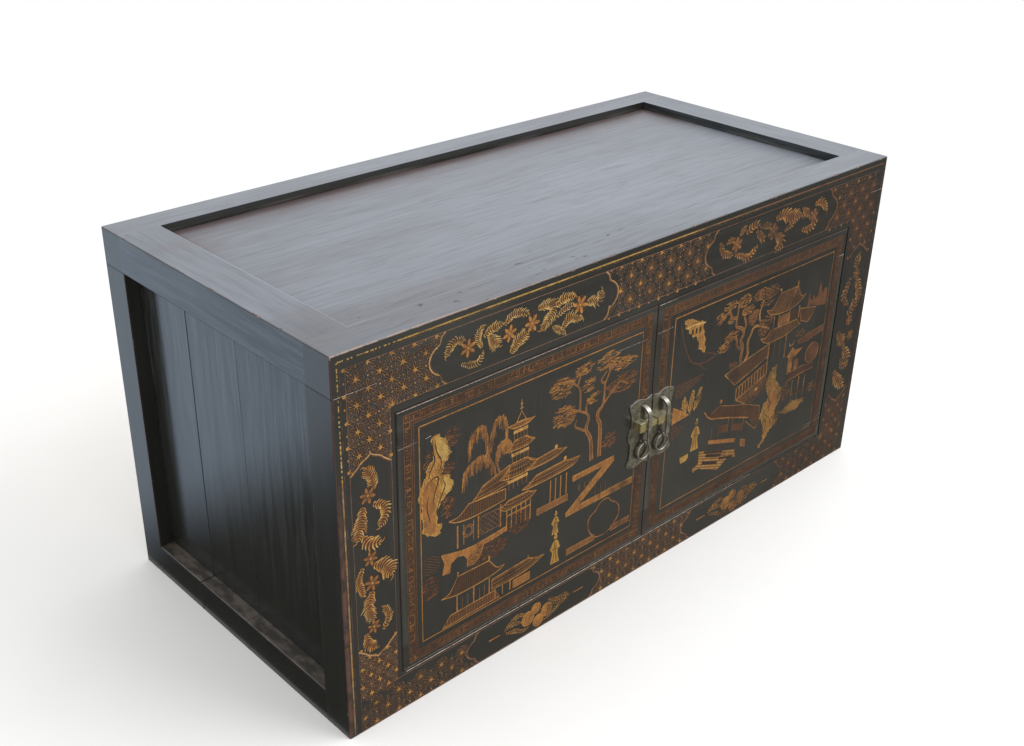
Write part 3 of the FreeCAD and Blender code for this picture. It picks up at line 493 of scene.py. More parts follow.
def add_mesh(name, spots, faces, material, body=None, tones=None):
    """A mesh with its finish and the tones of its points. It rides on a body of the
    cabinet, or is part of the stage."""
    mesh = bpy.data.meshes.new(name)
    mesh.from_pydata(spots.tolist(), [], faces)
    if tones is not None:
        mesh.attributes.new("tone", "FLOAT", "POINT").data.foreach_set("value", tones.astype(np.float32))
    mesh.materials.append(material)
    mesh.update()
    made = add_object(name, mesh)
    if body:
        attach(made, body)
    return made


def rectangle(left, top, right, bottom):
    return np.array(((left, top), (right, top), (right, bottom), (left, bottom)), float)


def on_circle(centre, radius, angle):
    """Points on a circle at the given angles."""
    return np.asarray(centre) + np.column_stack((radius * np.cos(angle), radius * np.sin(angle)))


def turns(count):
    """Equal angles round a full turn."""
    return 2 * np.pi * np.arange(count) / count


def smooth(points, steps=6, closed=False):
    """Catmull-Rom curve: each span is the cubic that passes both its points with
    the slope of the line from the point before to the point after."""
    p = np.asarray(points, float)
    if closed:
        q = np.vstack((p[-1:], p, p[:2]))
    else:
        q = np.vstack((2 * p[:1] - p[1:2], p, 2 * p[-1:] - p[-2:-1]))
    a, b, c, d = (q[i:len(q) - 3 + i, None] for i in range(4))
    t = np.linspace(0, 1, steps, endpoint=False)[None, :, None]
    curve = 0.5 * (2 * b + (c - a) * t + (2 * a - 5 * b + 4 * c - d) * t**2
                   + (3 * b - a - 3 * c + d) * t**3)
    curve = curve.reshape(-1, 2)
    return curve if closed else np.vstack((curve, p[-1:]))


def evenly(points, count):
    """The same path as count points at equal steps along its length."""
    p = np.asarray(points, float)
    run = np.concatenate(([0], np.cumsum(np.linalg.norm(np.diff(p, axis=0), axis=1))))
    steps = np.linspace(0, run[-1], count)
    return np.column_stack([np.interp(steps, run, p[:, i]) for i in range(2)])


def sides_of(path):
    """Unit run along a path and unit side to its left, by central differences."""
    run = np.gradient(np.asarray(path, float), axis=0)
    run /= np.linalg.norm(run, axis=1, keepdims=True) + 1e-12
    return run, np.column_stack((-run[:, 1], run[:, 0]))


def inside(points, outline):
    """Whether each point is inside an outline: an odd number of sides crosses to its right."""
    p, q = outline, np.roll(outline, -1, 0)
    px, py = points[:, :1], points[:, 1:]
    level = (p[:, 1] > py) != (q[:, 1] > py)
    rise = np.where(q[:, 1] == p[:, 1], 1e-9, q[:, 1] - p[:, 1])
    return ((level & (px < p[:, 0] + (py - p[:, 1]) * (q[:, 0] - p[:, 0]) / rise)).sum(1) % 2) == 1


class RaisedWork:
    """Strokes, dashes and fills on the plane of the front, gathered into one mesh.

    Points are squares of the drawing paper, right and down, or of a sheet laid on
    it that is drawn larger. Widths are millimetres.
    """

    def __init__(self):
        self.spots, self.tones, self.faces, self.count = [], [], [], 0
        self.sheet()

    def sheet(self, right=0.0, down=0.0, scale=1.0):
        """Draw on a sheet laid with its corner on a square of the paper."""
        self.corner, self.scale = np.array((right, down)), scale

    def metres(self, points):
        """Squares of the sheet as metres across and up the front."""
        squares = self.corner + np.asarray(points, float) / self.scale
        return np.stack((PAPER_LEFT + SQUARE * squares[..., 0],
                         PAPER_TOP - SQUARE * squares[..., 1]), -1)

    def add(self, flat, lift, tone, faces):
        """Points across the front with their lift and tone; faces as rows of numbers."""
        lift = np.broadcast_to(lift, len(flat))
        self.spots.append(np.column_stack((flat[:, 0], FRONT - lift, flat[:, 1])))
        self.tones.append(np.broadcast_to(tone, len(flat)))
        self.faces += (faces + self.count).tolist()
        self.count += len(flat)

    def stroke(self, points, width, tone, curve=False, ends=(1, 1), closed=False, lift=STROKE_LIFT):
        """A ribbon carried along a path: two edges half a width out, narrowed towards
        the ends by their shares, and a middle line that stands a crown above them."""
        path = self.metres(points)
        if curve:
            path = smooth(path, closed=closed)
        if closed:
            path = np.vstack((path, path[:1]))
        side = sides_of(path)[1]
        share = np.interp(np.linspace(0, 1, len(path)), (0, 0.4, 0.6, 1), (ends[0], 1, 1, ends[1]))
        half = side * (0.5 * MM * width * share)[:, None]
        n = len(path)
        flat = np.concatenate((path - half, path, path + half))
        lift = lift + np.repeat((0.0, CROWN, 0.0), n)
        i = np.arange(n - 1)
        strip = np.column_stack((i, i + 1, n + i + 1, n + i))
        self.add(flat, lift, tone, np.concatenate((strip, strip + n)))

    def fill(self, points, tone, curve=False, lift=GROUND_LIFT):
        """One flat face inside an outline, turned so that it faces forward."""
        flat = self.metres(points)
        if curve:
            flat = smooth(flat, 4, True)
        after = np.roll(flat, -1, 0)
        if (flat[:, 0] * after[:, 1] - after[:, 0] * flat[:, 1]).sum() < 0:
            flat = flat[::-1]
        self.add(flat, lift + chance.uniform(0, FILL_SPREAD), tone, np.arange(len(flat))[None])

    def dashes(self, starts, ends, width, tip, tone, tip_tone=None, lift=DASH_LIFT):
        """Many straight strokes at once: a four-cornered face from each start to its
        end, as wide as width at the start and as tip at the end."""
        a, b = self.metres(starts), self.metres(ends)
        run = b - a
        run /= np.linalg.norm(run, axis=1, keepdims=True) + 1e-12
        side = np.column_stack((-run[:, 1], run[:, 0])) * 0.5 * MM
        n = len(a)
        wide, thin = np.broadcast_to(width, n)[:, None], np.broadcast_to(tip, n)[:, None]
        flat = np.concatenate((a - side * wide, b - side * thin, b + side * thin, a + side * wide))
        start_tone = np.broadcast_to(tone, n)
        end_tone = start_tone if tip_tone is None else np.broadcast_to(tip_tone, n)
        tones = np.concatenate((start_tone, end_tone, end_tone, start_tone))
        lifts = np.tile(lift + chance.uniform(0, DASH_SPREAD, n), 4)
        self.add(flat, lifts, tones, np.arange(4 * n).reshape(4, n).T)

    def ruled(self, first, second, count, width, tone):
        """Straight strokes from even steps of one line to even steps of another."""
        self.dashes(evenly(first, count), evenly(second, count), width, width, tone)

    def hatch(self, outline, angle, gap, width, tone):
        """Parallel strokes at one angle, cut to an outline where they cross its sides."""
        c, s = math.cos(math.radians(angle)), math.sin(math.radians(angle))
        turn = np.array(((c, -s), (s, c)))
        p = np.asarray(outline, float) @ turn
        q = np.roll(p, -1, 0)
        starts, ends = [], []
        for level in np.arange(p[:, 1].min() + gap / 2, p[:, 1].max(), gap):
            cut = (p[:, 1] > level) != (q[:, 1] > level)
            share = (level - p[cut, 1]) / (q[cut, 1] - p[cut, 1])
            places = np.sort(p[cut, 0] + share * (q[cut, 0] - p[cut, 0]))
            row = np.column_stack((places, np.full(len(places), level)))
            starts.append(row[0::2])
            ends.append(row[1::2])
        self.dashes(np.concatenate(starts) @ turn.T, np.concatenate(ends) @ turn.T, width, width, tone)

    def panel(self, outline, ground, rows=None, rim=None):
        """A filled outline, with hatching over it by its angle, gap, width and tone, and a
        closed stroke round it by its width and tone."""
        self.fill(outline, ground)
        if rows:
            self.hatch(outline, *rows)
        if rim:
            self.stroke(outline, *rim, closed=True)

    def make(self, name, body, material):
        add_mesh(name, np.concatenate(self.spots), self.faces, material, body, np.concatenate(self.tones))


def flower(work, centre, reach, turn, tone, petals=6):
    """Petals round an eye on a dark ground: along a petal from s = 0 to 1 the half width
    is 0.20 reach times sin(pi (0.06 + 0.86 s)), and it runs from 0.12 to 1 of the reach."""
    disc(work, centre, 1.02 * reach, -0.18, 14, PATCH_LIFT)
    s = np.array((0.0, 0.25, 0.5, 0.78, 0.94, 1.0))
    along = reach * (0.12 + 0.88 * s)
    half = 0.20 * reach * np.sin(np.pi * (0.06 + 0.86 * s))
    across = np.concatenate((half, -half[::-1]))
    out = np.concatenate((along, along[::-1]))
    angle = turn + turns(petals)[:, None]
    x = centre[0] + np.cos(angle) * out - np.sin(angle) * across
    y = centre[1] + np.sin(angle) * out + np.cos(angle) * across
    flat = work.metres(np.stack((x, y), -1).reshape(-1, 2))
    faces = np.arange(len(flat)).reshape(petals, -1)
    shade = tone + 0.35 * np.tile(np.concatenate((s, s[::-1])), petals) - 0.25
    work.add(flat, OVER_LIFT, shade, faces)
    disc(work, centre, 0.15 * reach, 0.7, lift=EYE_LIFT)


def disc(work, centre, radius, tone, sides=12, lift=OVER_LIFT):
    """A round spot: points at equal angles on a circle."""
    work.fill(on_circle(centre, radius, turns(sides)), tone, lift=lift)


def ring(work, centre, radius, width, tone):
    """A circle drawn as one closed stroke."""
    work.stroke(on_circle(centre, radius, turns(28)), width, tone, closed=True)


def comb_leaf(work, spine, width, tone=PALE, pitch=2.7, ground=-0.2):
    """A curled leaf: barbs leave a spine in pairs and bend forward half way, each as long
    as 0.58 of the width times the square root of sin(pi t) at its share t of the spine,
    on a dark ground as far as the bends. They stand closer where the leaf stands than
    where it lies. A hook runs on past the end of the spine."""
    curve = smooth(spine, 8)
    steps = np.diff(curve, axis=0) / work.scale
    lying = np.linalg.norm(steps * (0.62, 1.0), axis=1).sum()
    count = int(np.clip(lying / (pitch + 0.0012 * work.corner[0]), 6, 24))
    thick = (0.26 + 0.0125 * pitch) * np.linalg.norm(steps, axis=1).sum() / count
    line = evenly(curve, count)
    run, side = sides_of(line)
    t = np.linspace(0.06, 0.97, len(line))[:, None]
    reach = 0.58 * width * np.sqrt(np.sin(np.pi * t)) * chance.uniform(0.72, 1.12, t.shape)
    roots, bends, tips = [], [], []
    for hand in (side, -side):
        roots.append(line)
        bends.append(line + 0.55 * reach * (0.94 * hand + 0.3 * run))
        tips.append(line + reach * (0.86 * hand + 0.6 * run))
    work.fill(np.vstack((bends[0], bends[1][::-1])), ground)
    roots, bends, tips = np.vstack(roots), np.vstack(bends), np.vstack(tips)
    shade = tone + chance.uniform(-0.2, 0.2, len(roots))
    work.dashes(roots, bends, 0.8 * thick, 1.1 * thick, shade - 0.4, shade - 0.08)
    work.dashes(bends, tips, 1.1 * thick, 0.7 * thick, shade - 0.08, shade)
    bend = np.sign(run[0, 0] * run[-1, 1] - run[0, 1] * run[-1, 0])
    curl = width * np.array(((0, 0), (0.22, 0.06), (0.30, 0.28)))
    hook = line[-1] + curl @ np.array((run[-1], bend * side[-1]))
    work.stroke(hook, 1.3, 0.62, curve=True, ends=(1, 0.4))


def tendril(work, points, tone, width):
    """A curved stroke that thins towards its end."""
    work.stroke(points, width, tone, curve=True, ends=(0.8, 0.3))


# ---------------------------------------------------------------- frame of the front

FIELD_OUT = (35.0, 37.0, 1557.0, 787.0)
FIELD_IN = (121.0, 136.0, 1470.0, 711.0)
GOLD_LINE = (19.5, 22.0, 1571.0, 786.0)


def long_cartouche(left, right, top, bottom, shoulder):
    """The two ends of a lying cartouche: on each a round lobe between two short shoulders,
    an arc of 124 degrees stretched to its reach and its height."""
    middle, rise = (top + bottom) / 2, (bottom - top) / 2
    lobe = np.radians(np.linspace(-62, 62, 9))
    reach = 0.62 * shoulder
    bow_x, bow_y = reach * (np.cos(lobe) - np.cos(lobe[0])) / (1 - np.cos(lobe[0])), np.sin(lobe)
    bow_y = 0.58 * rise * bow_y / bow_y[-1]
    flank = np.array(((0, -rise), (0.24 * shoulder, -0.84 * rise), (0.30 * shoulder, -0.68 * rise)))
    end = np.vstack((flank, np.column_stack((0.36 * shoulder + bow_x, bow_y)), flank[::-1] * (1, -1)))
    right_end = np.column_stack((right - shoulder + end[:, 0], middle + end[:, 1]))
    left_end = np.column_stack((left + shoulder - end[:, 0], middle + end[:, 1]))[::-1]
    return right_end, left_end


def tall_cartouche(left, right, top, bottom, shoulder):
    """The two ends of a standing cartouche, each an ogee to a point."""
    middle, half = (left + right) / 2, (right - left) / 2
    end = np.array(((-1, 1.0), (-0.86, 0.86), (-0.64, 0.62), (-0.54, 0.46), (-0.36, 0.30),
                    (-0.14, 0.16), (0, 0), (0.14, 0.16), (0.36, 0.30), (0.54, 0.46),
                    (0.64, 0.62), (0.86, 0.86), (1, 1.0)))
    head = np.column_stack((middle + half * end[:, 0], top + shoulder * end[:, 1]))
    foot = np.column_stack((middle + half * end[:, 0], bottom - shoulder * end[:, 1]))[::-1]
    return head, foot


CARTOUCHES = {
    "top_left": long_cartouche(205, 671, 37, 136, 37),
    "top_right": long_cartouche(928, 1396, 37, 136, 37),
    "left_post": tall_cartouche(35, 121, 208, 633, 30),
    "right_post": tall_cartouche(1477, 1557, 206, 629, 30),
    "bottom_left": long_cartouche(288, 667, 711, 787, 32),
    "bottom_right": long_cartouche(932, 1311, 711, 787, 32),
}


def in_field(points):
    """Whether points lie on the patterned frame and in none of its cartouches."""
    x, y = points[:, 0], points[:, 1]
    kept = (x > FIELD_OUT[0]) & (x < FIELD_OUT[2]) & (y > FIELD_OUT[1]) & (y < FIELD_OUT[3])
    hollow = (x > FIELD_IN[0]) & (x < FIELD_IN[2]) & (y > FIELD_IN[1]) & (y < FIELD_IN[3])
    kept &= ~hollow
    for ends in CARTOUCHES.values():
        kept &= ~inside(points, np.vstack(ends))
    return kept


# Each block of the pattern: its box, the place of one star, and the steps across and down.
DIAPER = (
    (35, 37, 240, 130, 55, 63, 48, 23.6),
    (121, 130, 240, 136, 55, 63, 48, 23.6),
    (35, 130, 121, 240, 55, 159, 44, 23),
    (640, 37, 960, 136, 705, 64, 57.3, 24.5),
    (1370, 37, 1557, 130, 1447, 67.5, 46, 23.8),
    (1370, 130, 1470, 136, 1447, 67.5, 46, 23.8),
    (1470, 130, 1557, 240, 1493, 163, 44, 23),
    (35, 600, 121, 720, 60, 667, 38.5, 21.2),
    (1470, 600, 1557, 720, 1512, 667, 40, 21.2),
    (35, 720, 320, 787, 173, 738, 52, 21.8),
    (640, 711, 960, 787, 723, 738, 52.5, 21.8),
    (1280, 711, 1557, 787, 1340, 738, 52, 21.8),
)


def near_field(points, slack=4.5):
    """Whether points lie on the patterned frame or just outside its lines."""
    steps = slack * np.array(((0, 0), (1, 0), (-1, 0), (0, 1), (0, -1)))
    return np.any([in_field(points + step) for step in steps], axis=0)


def diaper(work):
    """Stars on a centred lattice in each block, on its lines too: a gold blot with six
    points, rays round it as far as the edge of the pattern, a zigzag whose points lie on
    two circles in turn to join their tips, and lesser stars half way along a row."""
    eyes, lesser = [], []
    column, row = np.meshgrid(np.arange(-8, 9), np.arange(-8, 9))
    for left, top, right, bottom, x, y, wide, high in DIAPER:
        spots = np.column_stack(((x + wide * (column + 0.5 * (row % 2))).ravel(), (y + high * row).ravel()))
        slack = 4.0 * np.isin((left, top, right, bottom), FIELD_OUT + FIELD_IN)
        for stars, places in ((eyes, spots), (lesser, spots + (wide / 2, 0))):
            kept = (places >= (left, top) - slack[:2]).all(1) & (places < (right, bottom) + slack[2:]).all(1)
            stars.append(places[kept & near_field(places)])
    eyes, lesser = np.vstack(eyes), np.vstack(lesser)

    def rays(starts, ends, width, tip, tone, tip_tone):
        share = np.zeros(len(starts))
        for t in (0.4, 0.55, 0.7, 0.85, 1.0):
            share = np.where(in_field(starts + t * (ends - starts)), t, share)
        kept = share > 0
        shade = chance.uniform(-0.14, 0.14, kept.sum())
        work.dashes(starts[kept], starts[kept] + (share[:, None] * (ends - starts))[kept], width, tip,
                    tone + shade, tip_tone + shade)

    def star(eyes, count, inner, outer, width, tip, tone, tip_tone, turn):
        aim = np.tile(on_circle((0, 0), 1.0, turn + turns(count)), (len(eyes), 1))
        spread = np.tile(np.where(np.arange(count) % 2, 0.82, 1.0), len(eyes))[:, None]
        middle = np.repeat(eyes, count, 0)
        rays(middle + inner * aim, middle + outer * spread * aim, width, tip, tone, tip_tone)

    def zigzag(eyes, points, outer, inner, tone):
        rim = on_circle((0, 0), np.tile((outer, inner), points), turns(2 * points))
        starts, ends = (np.repeat(eyes, 2 * points, 0) + np.tile(np.roll(rim, step, 0), (len(eyes), 1))
                        for step in (0, -1))
        kept = in_field(starts) & in_field(ends)
        work.dashes(starts[kept], ends[kept], 0.42, 0.42, tone)

    ground = 13.0
    corners = np.array(((1, 0), (0, 1), (-1, 0), (0, -1), (0.7, 0.7), (-0.7, 0.7), (0.7, -0.7), (-0.7, -0.7)))
    for eye in eyes:
        if in_field(eye + ground * corners).all():
            disc(work, eye, ground, DEEP, 14, 2 * UNDER_LIFT)
        disc(work, eye, 3.5, 0.68, 8)
    for eye in lesser:
        disc(work, eye, 2.2, 0.58, 6)
    star(eyes, 6, 0.0, 8.5, 1.9, 0.6, 0.70, 0.62, 0.4)
    star(eyes, 16, 7.0, 16.5, 0.42, 0.82, 0.36, 0.54, 0.13)
    star(lesser, 8, 4.0, 9.0, 0.4, 0.6, 0.30, 0.48, 0.0)
    zigzag(eyes, 7, 17.5, 15.0, 0.22)


def broken_line(work, start, end, share, width, tone, pitch):
    """A worn line: one dash to each step of the pitch, its length a random share of the
    step about the given one, and its tone random about the given one."""
    start, run = np.array(start, float), np.subtract(end, start)
    count = int(np.linalg.norm(run) / pitch)
    t = (np.arange(count)[:, None] + chance.uniform(0, 0.3, (count, 1))) / count
    long = np.clip(chance.normal(share, 0.28, (count, 1)), 0.08, 1.05) / count
    shade = tone + np.clip(chance.normal(0, 0.1, count), -0.15, 0.15)
    work.dashes(start + t * run, start + (t + long) * run, width, 0.8 * width, shade)


def frame_lines(work):
    """The broken gold line near the outer edges, the red lines that bound the
    pattern, and the broad outline of each cartouche's ends."""
    left, top, right, foot = GOLD_LINE
    for start, end, share, width, tone, pitch in (((left, top), (140, top), 0.5, 1.9, 1.34, 9),
                                                  ((140, top), (900, top), 0.7, 1.6, 1.36, 12),
                                                  ((900, top), (right, top), 0.75, 1.5, 0.6, 14),
                                                  ((left, top), (left, 300), 0.5, 1.8, 1.34, 9),
                                                  ((left, 300), (left, foot), 0.7, 1.9, 1.28, 26),
                                                  ((right, top), (right, foot), 0.8, 1.4, 0.3, 14)):
        broken_line(work, start, end, share, width, tone, pitch)
        broken_line(work, np.add(start, (5, 4)), np.add(end, (5, 4)), 0.7, 0.6, 0.08, pitch)
    for start, end, tone in (((140, top), (900, top), 1.26), ((900, top), (right, top), 0.4),
                             ((left, 250), (left, foot), 0.45)):
        work.stroke(evenly((start, end), 30), 2.0, tone, lift=UNDER_LIFT)
    for bounds in (FIELD_OUT, FIELD_IN):
        work.stroke(rectangle(*bounds), 1.0, 0.22, closed=True)
    for name, ends in CARTOUCHES.items():
        tone = 0.3 if "bottom" in name else 0.6 if "right" in name else 0.9
        middle = np.vstack(ends).mean(0)
        for end in ends:
            work.stroke(end, 2.2, 0.3)
            work.stroke(end, 1.0, tone, lift=RIM_LIFT)
            inner = end + 3.0 * (middle - end) / np.linalg.norm(middle - end, axis=1, keepdims=True)
            work.stroke(inner, 1.0, 0.05)


def spray(work, flowers, leaves, tone=PALE, pitch=2.7, petal=0.62, ground=-0.2):
    """Combed leaves by spine and width, and over them flowers by place and reach."""
    for spine, width in leaves:
        comb_leaf(work, spine, width, tone, pitch, ground)
    for x, y, reach in flowers:
        flower(work, (x, y), reach, 0.013 * x, petal)


def fruit(work, centre, reach):
    """A round gilt fruit: a bright disc with two nested arcs across its shaded side."""
    disc(work, centre, reach, 0.58, 14, STROKE_LIFT)
    for share, tone in ((0.72, 0.05), (0.36, 0.1)):
        work.stroke(on_circle(centre, share * reach, np.radians(np.linspace(-30, 150, 9))), 1.0, tone)


def frame_sprays(work):
    """Sprays of six-petalled flowers and combed leaves inside the cartouches, each
    drawn on its own enlarged sheet, and gilt fruit in the two at the foot."""
    work.sheet(230, 30, 3.4)
    spray(work, [(212, 185, 60), (542, 195, 56), (728, 185, 62), (1145, 185, 66)],
          [(((196, 150), (140, 112), (84, 130), (42, 182)), 72),
           (((318, 214), (292, 160), (298, 108), (330, 80)), 56), (((336, 150), (400, 118), (482, 112)), 74),
           (((372, 150), (410, 200), (444, 244)), 104), (((500, 124), (560, 82), (630, 82), (690, 106)), 70),
           (((556, 330), (612, 270), (690, 228)), 118),
           (((776, 100), (850, 96), (904, 126), (880, 190), (816, 250)), 104),
           (((930, 130), (1000, 100), (1088, 106)), 82), (((946, 206), (1010, 170), (1080, 160)), 62),
           (((906, 264), (960, 300), (1016, 340)), 56), (((984, 306), (1060, 250), (1162, 280)), 88),
           (((1196, 190), (1262, 190), (1306, 210), (1340, 150)), 96),
           (((160, 276), (232, 300), (292, 302), (326, 258)), 56)])
    work.sheet(920, 30, 3.3)
    spray(work, [(370, 185, 58), (780, 190, 62), (1270, 190, 56)],
          [(((185, 128), (226, 208), (322, 250)), 62), (((254, 152), (300, 136), (350, 150)), 56),
           (((398, 124), (424, 96), (446, 74)), 52), (((470, 128), (552, 86), (606, 100)), 82),
           (((590, 140), (640, 190), (682, 232)), 74), (((630, 124), (700, 126), (750, 150)), 62),
           (((806, 104), (880, 88), (970, 122), (1110, 150)), 112),
           (((822, 226), (884, 280), (866, 344)), 116), (((926, 222), (974, 200), (1030, 170)), 62),
           (((366, 262), (440, 286), (512, 316), (602, 264)), 62),
           (((1120, 96), (1168, 136), (1206, 170)), 72),
           (((1276, 100), (1350, 100), (1400, 140), (1432, 176)), 80),
           (((1146, 268), (1232, 280), (1318, 246)), 76)], tone=0.72, pitch=3.8, petal=0.42, ground=-0.08)
    work.sheet(8, 200, 3)
    spray(work, [(183, 262, 50), (185, 648, 46), (190, 805, 50), (190, 1090, 44)],
          [(((220, 240), (212, 170), (178, 104)), 92), (((216, 326), (266, 350), (292, 404), (258, 476)), 78),
           (((150, 320), (134, 400), (108, 500)), 96), (((146, 500), (180, 548), (244, 572)), 104),
           (((206, 700), (270, 730), (318, 800)), 122), (((132, 686), (106, 760), (130, 856)), 58),
           (((188, 860), (160, 950), (182, 1044)), 96), (((252, 1140), (290, 1070), (264, 998)), 60),
           (((136, 1116), (148, 1180), (188, 1232)), 84)],
          tone=0.82, pitch=4.2, petal=0.40, ground=-0.08)
    work.sheet(1460, 200, 3)
    spray(work, [(190, 252, 44), (185, 622, 44), (228, 752, 44)],
          [(((180, 220), (176, 170), (186, 116)), 90), (((120, 274), (86, 350), (66, 410), (120, 474)), 70),
           (((204, 290), (240, 370), (276, 470)), 96), (((150, 560), (200, 530), (236, 474)), 110),
           (((60, 690), (100, 740), (150, 800)), 108), (((160, 830), (210, 900), (250, 970)), 100),
           (((150, 930), (180, 990), (240, 1010)), 60), (((90, 1010), (130, 1080), (230, 1180)), 108)],
          tone=0.80, pitch=5.5, petal=0.42, ground=-0.08)
    for left in (270, 911):
        work.sheet(left, 690, 3.6)
        for spine in (((430, 212), (476, 172), (560, 140), (630, 160)),
                      ((450, 236), (540, 262), (600, 296), (660, 300)),
                      ((1090, 214), (1040, 182), (960, 186), (884, 148)),
                      ((1064, 228), (980, 246), (900, 290), (840, 306)), ((440, 200), (520, 190), (590, 210)),
                      ((1080, 208), (1000, 216), (930, 210))):
            comb_leaf(work, spine, 40, GOLD)
        for x, y, reach in ((745, 160, 50), (770, 282, 56), (664, 214, 66), (856, 226, 62)):
            fruit(work, (x, y), reach)
        work.dashes(((280, 215), (1240, 217)), ((392, 216), (1136, 215)), 2.6, 1.6, 0.45)
    work.sheet()


# ---------------------------------------------------------------- the door scenes

def key_fret(work, outer, inner):
    """A key pattern between two rectangles on a dull red ground: one unit of five
    strokes repeated along each side, less those worn away, a brown line along its
    outer edge and two along its inner edge."""
    unit = np.array(((0, 0.08), (0, 0.88), (0.78, 0.88), (0.78, 0.3), (0.36, 0.3), (0.36, 0.62)))
    band = inner[0] - outer[0]
    depth = 0.74 * band
    rim, core = rectangle(*outer), rectangle(*inner)
    inward = ((0, 1), (-1, 0), (0, -1), (1, 0))
    for i in range(4):
        start, end = rim[i], rim[(i + 1) % 4]
        work.fill((start, end, core[(i + 1) % 4], core[i]), -0.2)
        count = max(int(np.abs(end - start).sum() / 12.0), 1)
        run = (end - start) / count
        place = start + np.arange(count)[:, None, None] * run
        shape = place + unit[None, :, :1] * run + unit[None, :, 1:] * depth * np.array(inward[i], float)
        starts, ends = shape[:, :-1].reshape(-1, 2), shape[:, 1:].reshape(-1, 2)
        kept = chance.uniform(0, 1, len(starts)) > 0.12
        shade = chance.uniform(-0.15, 0.5, len(starts)) - 0.1 * (outer[0] > 800)
        work.dashes(starts[kept], ends[kept], 0.9, 0.9, shade[kept])
    for share in (0.0, 0.78, 1.0):
        step = share * band * np.array((1, 1, -1, -1))
        work.stroke(rectangle(*(np.array(outer) + step)), 0.9, 0.22, closed=True)


def flecks(work, boxes, tone, size=24.0, rimmed=False):
    """Leaf pads: short leaning strokes scattered over ellipses, one in each box, and on
    rimmed ones bits of a scalloped rim, whose radius has seven bows."""
    for left, top, right, bottom in boxes:
        count = int((right - left) * (bottom - top) / (size * 17.0))
        angle, reach = chance.uniform(0, 2 * np.pi, count), np.sqrt(chance.uniform(0, 1, count))
        x = (left + right) / 2 + 0.5 * (right - left) * reach * np.cos(angle)
        y = (top + bottom) / 2 + 0.5 * (bottom - top) * reach * np.sin(angle)
        half = size * chance.uniform(0.4, 1.1, count)
        lean = chance.uniform(-0.3, 0.5, count) * half
        shade = np.clip(tone + chance.normal(0, 0.14, count), -0.1, 1)
        work.dashes(np.column_stack((x - half, y + lean)), np.column_stack((x + half, y - lean)),
                    1.0, 0.6, shade - 0.1 * rimmed)
        if rimmed:
            angle = np.linspace(0, 2 * np.pi, 57)
            bow = 0.5 * (0.86 + 0.2 * abs(np.sin(3.5 * angle + left)))
            rim = np.column_stack(((left + right) / 2 + bow * (right - left) * np.cos(angle),
                                   (top + bottom) / 2 + bow * (bottom - top) * np.sin(angle)))
            kept = np.repeat(chance.uniform(0, 1, 14) > 0.45, 4)
            work.dashes(rim[:-1][kept], rim[1:][kept], 1.1, 1.1, tone + 0.25)


def limbs(work, paths, width, tone=0.45):
    """Branches: a dull ribbon with a brighter line along each of its edges."""
    for path in paths:
        line = smooth(path)
        share = np.interp(np.linspace(0, 1, len(line)), (0, 0.4, 0.6, 1), (1.25, 1, 1, 0.4))
        edge = sides_of(line)[1] * (0.34 * width * share * work.scale * MM / SQUARE)[:, None]
        work.stroke(line, width, tone - 0.3, ends=(1.25, 0.4))
        for side in (line + edge, line - edge):
            work.stroke(side, 0.26 * width, tone + 0.1, ends=(1.25, 0.6))


def roof(work, ridge, eave, tiles, tone=0.28, sag=0.08):
    """A hipped roof: a dark ground between ridge, sagging hips and curved eave, fine tile
    lines, and gold on ridge, hips and eave. The tile lines fan out from ridge to eave with
    three lines across them, or stand upright where the hips sag far."""
    ridge, eave = np.asarray(ridge, float), np.asarray(eave, float)
    edge = smooth(eave, 5)
    hips = [smooth((top, 0.5 * (top + tip) + (0, sag * abs(tip - top).sum()), tip), 5)
            for top, tip in ((ridge[0], eave[0]), (ridge[-1], eave[-1]))]
    head = np.vstack((hips[0][:0:-1], ridge, hips[1][1:-1]))
    work.fill(np.vstack((head, edge[:0:-1])), DEEP)
    if sag > 0.1:
        x = np.linspace(edge[0, 0], edge[-1, 0], 2 * tiles + 2)[1:-1]
        work.dashes(np.column_stack((x, np.interp(x, head[:, 0], head[:, 1]))),
                    np.column_stack((x, np.interp(x, edge[:, 0], edge[:, 1]))), 1.0, 1.0, tone)
    else:
        work.ruled(ridge, edge, 3 * tiles // 2, 0.7, tone)
        for share in (0.16, 0.50, 0.82):
            work.stroke((1 - share) * evenly(ridge, 9) + share * evenly(edge, 9), 0.9, 0.42)
    work.stroke(ridge, 1.5, 0.66)
    work.stroke(eave, 1.6, 0.66, curve=True, ends=(0.6, 0.6))
    for hip in hips:
        work.stroke(hip, 1.4, 0.55)


def columns(work, places, top, bottom, width=1.8, tone=ORANGE):
    """Upright strokes of one height at the given places."""
    starts, ends = (np.column_stack((places, np.full(len(places), level))) for level in (top, bottom))
    work.dashes(starts, ends, width, width, tone)


def robed(work, head, hem, tone=MUSTARD):
    """A small robed shape: a round head over a gown with wide sleeves and a spread hem."""
    x, y = head
    tall = hem - y
    gown = np.array(((-0.05, 0.12), (0.06, 0.12), (0.13, 0.22), (0.22, 0.45), (0.12, 0.50), (0.11, 0.66),
                     (0.20, 1.0), (-0.21, 0.98), (-0.13, 0.62), (-0.15, 0.50), (-0.24, 0.42), (-0.14, 0.22)))
    work.fill(np.array((x, y)) + tall * gown, tone, lift=2 * GROUND_LIFT)
    disc(work, head, 0.085 * tall, tone)
    disc(work, (x, y - 0.11 * tall), 0.045 * tall, tone - 0.2, 8)
    for fold in (((-0.03, 0.2), (-0.05, 0.55), (-0.1, 0.95)), ((0.04, 0.2), (0.03, 0.6), (0.06, 0.96)),
                 ((-0.14, 0.44), (0.12, 0.47))):
        work.stroke(np.array((x, y)) + tall * np.array(fold), 1.3, RED, lift=OVER_LIFT)


